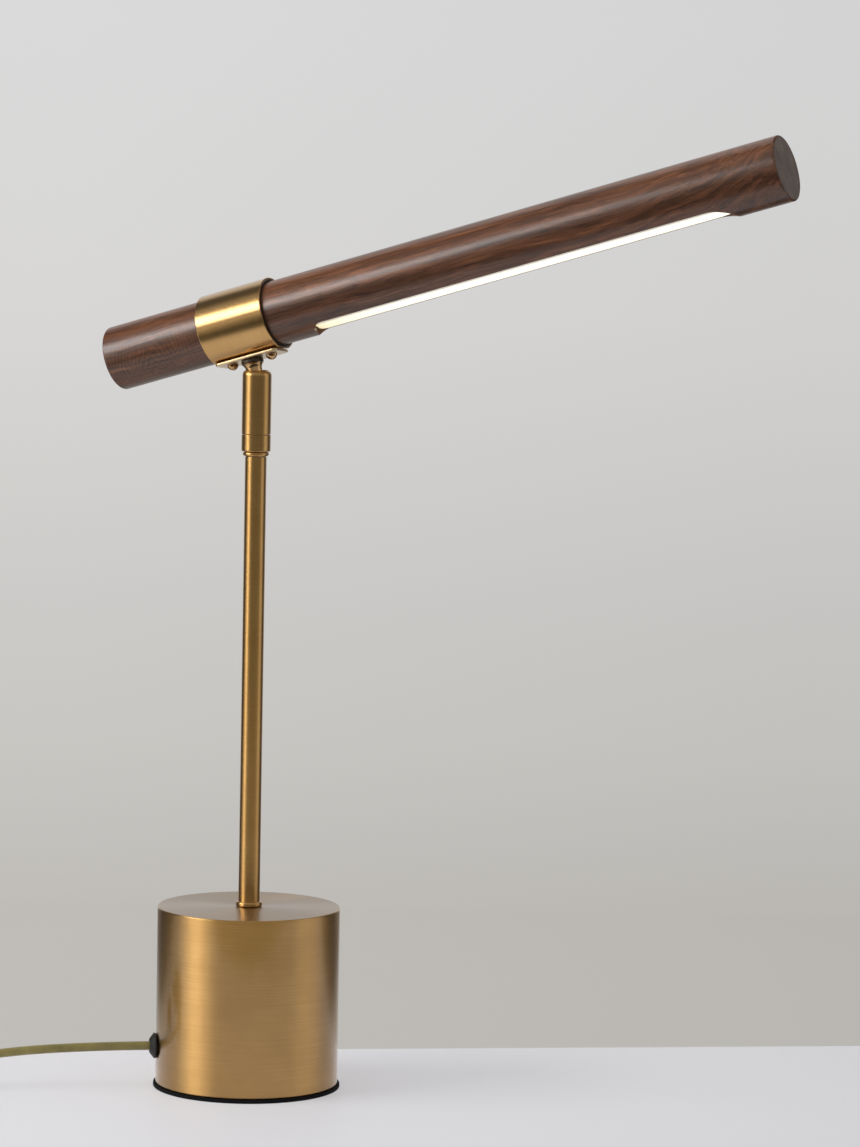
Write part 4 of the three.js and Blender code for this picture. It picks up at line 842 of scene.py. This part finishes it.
curled = node(tree, "Mix", {0: curl_reach, 2: 1.0, 3: curl_tone}, data_type="FLOAT")
# Painted light: the colour is lightened 1.2 times below the bar's middle, rising to 2.35 times near its top.
painted_top_light = node(tree, "MapRange", {
    "Value": along["Z"], "From": (top_light_start * mm, top_light_full * mm), "To": (1.2, 2.35),
})
shade = pores
for tone in (curled, painted_top_light, line_tone):
    shade = node(tree, "Math", {0: shade, 1: tone}, operation="MULTIPLY")
toned = node(tree, "VectorMath", {0: colour, "Scale": shade}, operation="SCALE")
gloss = node(tree, "MapRange", {"Value": fine, "From": (0.3, 0.7), "To": (0.46, 0.34)})
skin = node(tree, "Bump", {"Height": fine, "Strength": 0.25, "Distance": 0.05 * mm})
feed(shader, {"Base Color": toned, "Roughness": gloss, "Normal": skin})

# Bare end grain: matt grey-brown, dotted with pores
end_grain, tree, shader, place = finish("rosewood_end_grain", {"Roughness": 0.6, "IOR": 1.5})
dots = node(tree, "TexNoise", {"Vector": place, "Scale": 1 / (0.8 * mm), "Detail": 3})
arcs = node(tree, "TexNoise", {"Vector": place, "Scale": 1 / (9 * mm), "Detail": 2})
mixed = node(tree, "Math", {0: dots, 1: arcs}, operation="MULTIPLY")
tint = node(tree, "ValToRGB", {"Fac": mixed}, stops=[(0.12, "#63564d"), (0.4, "#87776c")])
skin = node(tree, "Bump", {"Height": dots, "Strength": 0.3, "Distance": 0.05 * mm})
feed(shader, {"Base Color": tint, "Normal": skin})

bar = piece("wood_bar_turned", turned([
    (0, bar_start, 0), (bar_radius, bar_start, bar_edge), (bar_radius, bar_end, bar_edge), (0, bar_end, 0),
], sides=160), along_bar, rosewood, end_grain)
scoop = piece("scoop", lofted([
    scoop_outline(0, -bar_radius - overrun), scoop_outline(0, flat_height),
]), head_frame)
rebate = piece("rebate", lofted([
    scoop_outline(rebate_inset, flat_height - overrun / 2),
    scoop_outline(rebate_inset, flat_height + rebate_depth),
]), head_frame)
carved(bar, scoop, rebate)
bar_axis = (head_frame.to_3x3() @ Vector((1, 0, 0))).normalized()
bar_middle = head_frame @ Vector(((bar_start + bar_end) / 2, 0, 0)) * mm
for face in bar.data.polygons:
    out = abs((face.center - bar_middle).dot(bar_axis))
    at_end = out > ((bar_end - bar_start) / 2 - end_depth) * mm
    face.material_index = int(at_end and abs(face.normal.dot(bar_axis)) > squarely)
stands_for(bar, "head", "walnut", "wood_bar")

# Diffuser: a strip of opal acrylic let into the flat, lit from behind by a row of warm-white chips. It
# is creamier by the ring, where the light is thinner, and dims towards the sides of the row.
fade_start, fade_stop = scoop_start + 3, scoop_start + 45
row_middle, row_bright, row_dim = 1.5, 6, 11
opal, tree, shader, place = finish("lit_opal_acrylic", {
    "Base Color": linear("#fbf6ea"), "Roughness": 0.45, "IOR": 1.49, "Emission Strength": 0.95,
})
along = node(tree, "SeparateXYZ", {"Vector": in_frame(tree, place, head_frame)}).outputs
share = node(tree, "MapRange", {"Value": along["X"], "From": (fade_start * mm, fade_stop * mm)})
glow = node(tree, "ValToRGB", {"Fac": share}, stops=[
    (0, "#dccb97"), (1, "#fff4da"), (0.4, "#f4e6bd"),
])
from_chips = node(tree, "Math", {0: along["Y"], 1: row_middle * mm}, operation="SUBTRACT")
from_chips = node(tree, "Math", {0: from_chips}, operation="ABSOLUTE")
edge_share = node(tree, "MapRange", {
    "Value": from_chips, "From": (row_bright * mm, row_dim * mm), "To": (1, 0.1),
})
glow = node(tree, "VectorMath", {0: glow, "Scale": edge_share}, operation="SCALE")
feed(shader, {"Emission Color": glow})
diffuser = piece("diffuser_moulded", lofted([
    scoop_outline(diffuser_inset + diffuser_edge, flat_height),
    scoop_outline(diffuser_inset, flat_height + diffuser_edge),
    scoop_outline(diffuser_inset, flat_height + diffuser_thickness),
]), head_frame, opal)
stands_for(diffuser, "head", "opal", "diffuser")

# Pieces inside the drum, stem, swivel and bar stay as the frame has them. Each gets the plain trade
# finish of its slot: zinc-plated steel, cast iron, nylon, rolled aluminium, white board, grey lead. The
# table gives its name, its darkest and lightest tone, its metallic, its roughness and its grain in mm.
inside_finishes = {
    "brass": ("turned_brass", "#a98550", "#c8a468", 1, 0.35, 1.5),
    "dark_brass": ("oxidised_brass", "#3a2c1c", "#57442c", 1, 0.45, 1.5),
    "steel": ("zinc_plated_steel", "#8d9094", "#b2b5b8", 1, 0.38, 2),
    "iron": ("cast_iron", "#3a3b3c", "#565758", 1, 0.62, 1.2),
    "aluminium": ("rolled_aluminium", "#a9abae", "#c8cacc", 1, 0.4, 3),
    "nylon": ("white_nylon", "#d8d5cb", "#ece9df", 0, 0.5, 2),
    "board": ("white_solder_mask", "#d9dcd8", "#f0f2ee", 0, 0.4, 4),
    "rubber": ("black_rubber_inside", "#121211", "#232322", 0, 0.55, 2),
    "black_plastic": ("black_abs_inside", "#121213", "#1e1e1f", 0, 0.45, 0.5),
    "cord_sheath": ("olive_gold_pvc_inside", "#857a45", "#a09355", 0, 0.4, 9),
    "lead_sheath": ("grey_pvc_lead", "#6f7072", "#8b8c8e", 0, 0.45, 4),
    "walnut": ("rosewood_inside", "#3f251a", "#6f432b", 0, 0.5, 2),
    "opal": ("opal_inside", "#efe8d8", "#fbf6ea", 0, 0.45, 5),
}
swing = 0.08
slots = {part["node"]: part["material_slot"] for part in frame["record"]["subparts"]}
for slot_name, (label, dark, light, metallic, roughness, size) in inside_finishes.items():
    material = mottled(label, {"Metallic": metallic}, [
        (0.3, dark), (0.7, light),
    ], patches=size, detail=4, bump=0.2, depth=0.05, dullness=(roughness - swing, roughness + swing))
    for name, held in frame["nodes"].items():
        if slots.get(name) == slot_name:
            held.data.materials.clear()
            held.data.materials.append(material)

# Studio: a white table, a pale wall behind it, one large soft light on the left with a low strip light
# under it, and a weak light on the right. The wall shows its own even shading to the camera and in the
# brass, and light passes its back.
wall_distance, stage_reach, wall_height, wall_fade, dim_start, dim_end = 600, 9000, 7000, 600, 300, 600
side_span = (-150 * mm, 350 * mm)


def stage_plane(name, corners, material):
    """A flat plane through corners in millimetres"""
    shape = bmesh.new()
    shape.faces.new([shape.verts.new(Vector(corner) * mm) for corner in corners])
    mesh = bpy.data.meshes.new(name)
    shape.to_mesh(mesh)
    shape.free()
    mesh.materials.append(material)
    made = bpy.data.objects.new(name, mesh)
    scene.collection.objects.link(made)


def seen_rays(tree):
    """Whether a ray shows the stage itself, to the camera, in gloss or in clear plastic; whether in gloss"""
    ray = node(tree, "LightPath").outputs
    seen = ray["Is Camera Ray"]
    for other in ("Is Glossy Ray", "Is Transmission Ray"):
        seen = node(tree, "Math", {0: seen, 1: ray[other]}, operation="MAXIMUM")
    return seen, ray["Is Glossy Ray"]


# The table is white laminate as far as its back edge, which runs a little aslant, and a grey ledge
# beyond that. A third of what shows on the table is its own colour, and most of it on the ledge. The rest
# is the light on it, so the lamp's shadow stays soft. Gloss sees it end, dark, well in front of the lamp
# and at both sides behind it.
table_back, back_slant, back_edge, table_front, front_fade = 99, 0.128, 0.5, -420, 60
side_start, side_end, rear_start, rear_end = 80, 260, 90, 200
table_top, tree, shader, place = finish("white_table_top", {"Roughness": 0.5, "Specular IOR Level": 0.3})
spot = node(tree, "SeparateXYZ", {"Vector": place}).outputs
slant = node(tree, "Math", {0: spot["X"], 1: back_slant}, operation="MULTIPLY")
depth = node(tree, "Math", {0: spot["Y"], 1: slant}, operation="SUBTRACT")
beyond = node(tree, "MapRange", {
    "Value": depth, "From": ((table_back - back_edge) * mm, (table_back + back_edge) * mm),
})
in_front = node(tree, "MapRange", {
    "Value": spot["Y"], "From": (table_front * mm, (table_front - front_fade) * mm),
})
off_side = node(tree, "Math", {0: spot["X"]}, operation="ABSOLUTE")
at_side = node(tree, "MapRange", {
    "Value": off_side, "From": (side_start * mm, side_end * mm), "To": (0, 0.92),
})
behind = node(tree, "MapRange", {"Value": spot["Y"], "From": (rear_start * mm, rear_end * mm)})
behind_side = node(tree, "Math", {0: at_side, 1: behind}, operation="MULTIPLY")
outside = node(tree, "Math", {0: in_front, 1: behind_side}, operation="MAXIMUM")
seen, in_gloss = seen_rays(tree)
dimmed = node(tree, "Math", {0: outside, 1: in_gloss}, operation="MULTIPLY")
lit_and_own = []
for white, grey in (("#f3f3f7", "#c6c4c1"), ("#fbfafd", "#c1beb9")):
    plain = node(tree, "Mix", {0: beyond, 6: linear(white), 7: linear(grey)}, data_type="RGBA").outputs[2]
    ended = node(tree, "Mix", {0: dimmed, 6: plain, 7: linear("#232325")}, data_type="RGBA")
    lit_and_own.append(ended.outputs[2])
lit, own = lit_and_own
# Painted light: the table's own glow is a little brighter on the left, towards the large light, and dimmer
# on the right.
side_fall = node(tree, "MapRange", {"Value": spot["X"], "From": side_span, "To": (1.03, 0.97)})
own_light = node(tree, "Emission", {"Color": own, "Strength": side_fall})
own_share = node(tree, "MapRange", {"Value": beyond, "To": (0.35, 0.85)})
shown_share = node(tree, "Math", {0: own_share, 1: seen}, operation="MULTIPLY")
feed(shader, {"Base Color": lit})
feed(tree.nodes["Material Output"], {
    "Surface": node(tree, "MixShader", {0: shown_share, 1: shader, 2: own_light}),
})
stage_plane("table_top", [
    (-stage_reach, -stage_reach, 0), (stage_reach, -stage_reach, 0), (stage_reach, stage_reach, 0),
    (-stage_reach, stage_reach, 0),
], table_top)

# The wall glows with its own even shading: greyer towards the table, and a little darker on the right.
# Gloss sees it darken far off at both sides, as a room does.
wall_paint, tree, shader, place = finish("pale_wall", {})
spot = node(tree, "SeparateXYZ", {"Vector": place}).outputs
rise = node(tree, "MapRange", {"Value": spot["Z"], "From": (0, wall_fade * mm)})
shading = node(tree, "ValToRGB", {"Fac": rise}, stops=[
    (0, "#bdbab6"), (1, "#d7d7d7"), (0.19, "#c5c4c0"), (0.35, "#c9c8c6"), (0.51, "#cfcecc"),
    (0.68, "#d5d4d3"),
])
side_fall = node(tree, "MapRange", {"Value": spot["X"], "From": side_span, "To": (1.03, 0.96)})
shown = node(tree, "VectorMath", {0: shading, "Scale": side_fall}, operation="SCALE")
off_side = node(tree, "Math", {0: spot["X"]}, operation="ABSOLUTE")
far_off = node(tree, "MapRange", {
    "Value": off_side, "From": (dim_start * mm, dim_end * mm), "To": (0, 0.85),
})
paint = node(tree, "BsdfDiffuse", {"Color": linear("#cfcdcb")})
seen, in_gloss = seen_rays(tree)
dimmed = node(tree, "Math", {0: far_off, 1: in_gloss}, operation="MULTIPLY")
kept_share = node(tree, "Math", {0: 1.0, 1: dimmed}, operation="SUBTRACT")
glow = node(tree, "Emission", {"Color": shown, "Strength": kept_share})
front = node(tree, "MixShader", {0: seen, 1: paint, 2: glow})
clear = node(tree, "BsdfTransparent")
behind = node(tree, "NewGeometry").outputs["Backfacing"]
feed(tree.nodes["Material Output"], {
    "Surface": node(tree, "MixShader", {0: behind, 1: front, 2: clear}),
})
# Paint and glow are all that the wall needs
tree.nodes.remove(shader)
stage_plane("wall", [
    (-stage_reach, wall_distance, 0), (stage_reach, wall_distance, 0),
    (stage_reach, wall_distance, wall_height), (-stage_reach, wall_distance, wall_height),
], wall_paint)

# Each light aims at the lamp's middle. A row gives its place and its size in metres, and its power in watts.
lamp_middle = Vector((0, 0, 0.25))
for name, stand, size, power in (
    ("soft_light_left", (-1.59, -0.54, 1.1), (1.4, 0.62), 17),
    ("low_strip_left", (-1.19, -0.53, 0.26), (0.42, 0.46), 1.25),
    ("soft_light_right", (1.75, -0.1, 0.75), (1.4, 1.4), 2.7),
):
    light_data = bpy.data.lights.new(name, "AREA")
    light_data.shape = "RECTANGLE"
    light_data.size, light_data.size_y = size
    light_data.energy = power
    light = bpy.data.objects.new(name, light_data)
    scene.collection.objects.link(light)
    aim = (lamp_middle - Vector(stand)).to_track_quat("-Z", "Y")
    light.matrix_world = Matrix.Translation(stand) @ aim.to_matrix().to_4x4()

# The world is a weak light that is stronger from above. The camera sees a plain grey.
world = bpy.data.worlds.new("studio")
scene.world = world
world.use_nodes = True
tree = world.node_tree
tree.nodes.clear()
direction = node(tree, "TexCoord").outputs["Generated"]
spot = node(tree, "SeparateXYZ", {"Vector": direction}).outputs
overhead = node(tree, "MapRange", {"Value": spot["Z"], "From": (0, 0.6), "To": (0.28, 0.48)})
ambient = node(tree, "Background", {"Color": linear("#f4f5f8"), "Strength": overhead})
backdrop = node(tree, "Background", {"Color": linear("#d3d2d2"), "Strength": 1})
ray = node(tree, "LightPath").outputs
sky = node(tree, "MixShader", {0: ray["Is Camera Ray"], 1: ambient, 2: backdrop})
node(tree, "OutputWorld", {"Surface": sky})
scene.view_settings.view_transform = "Standard"
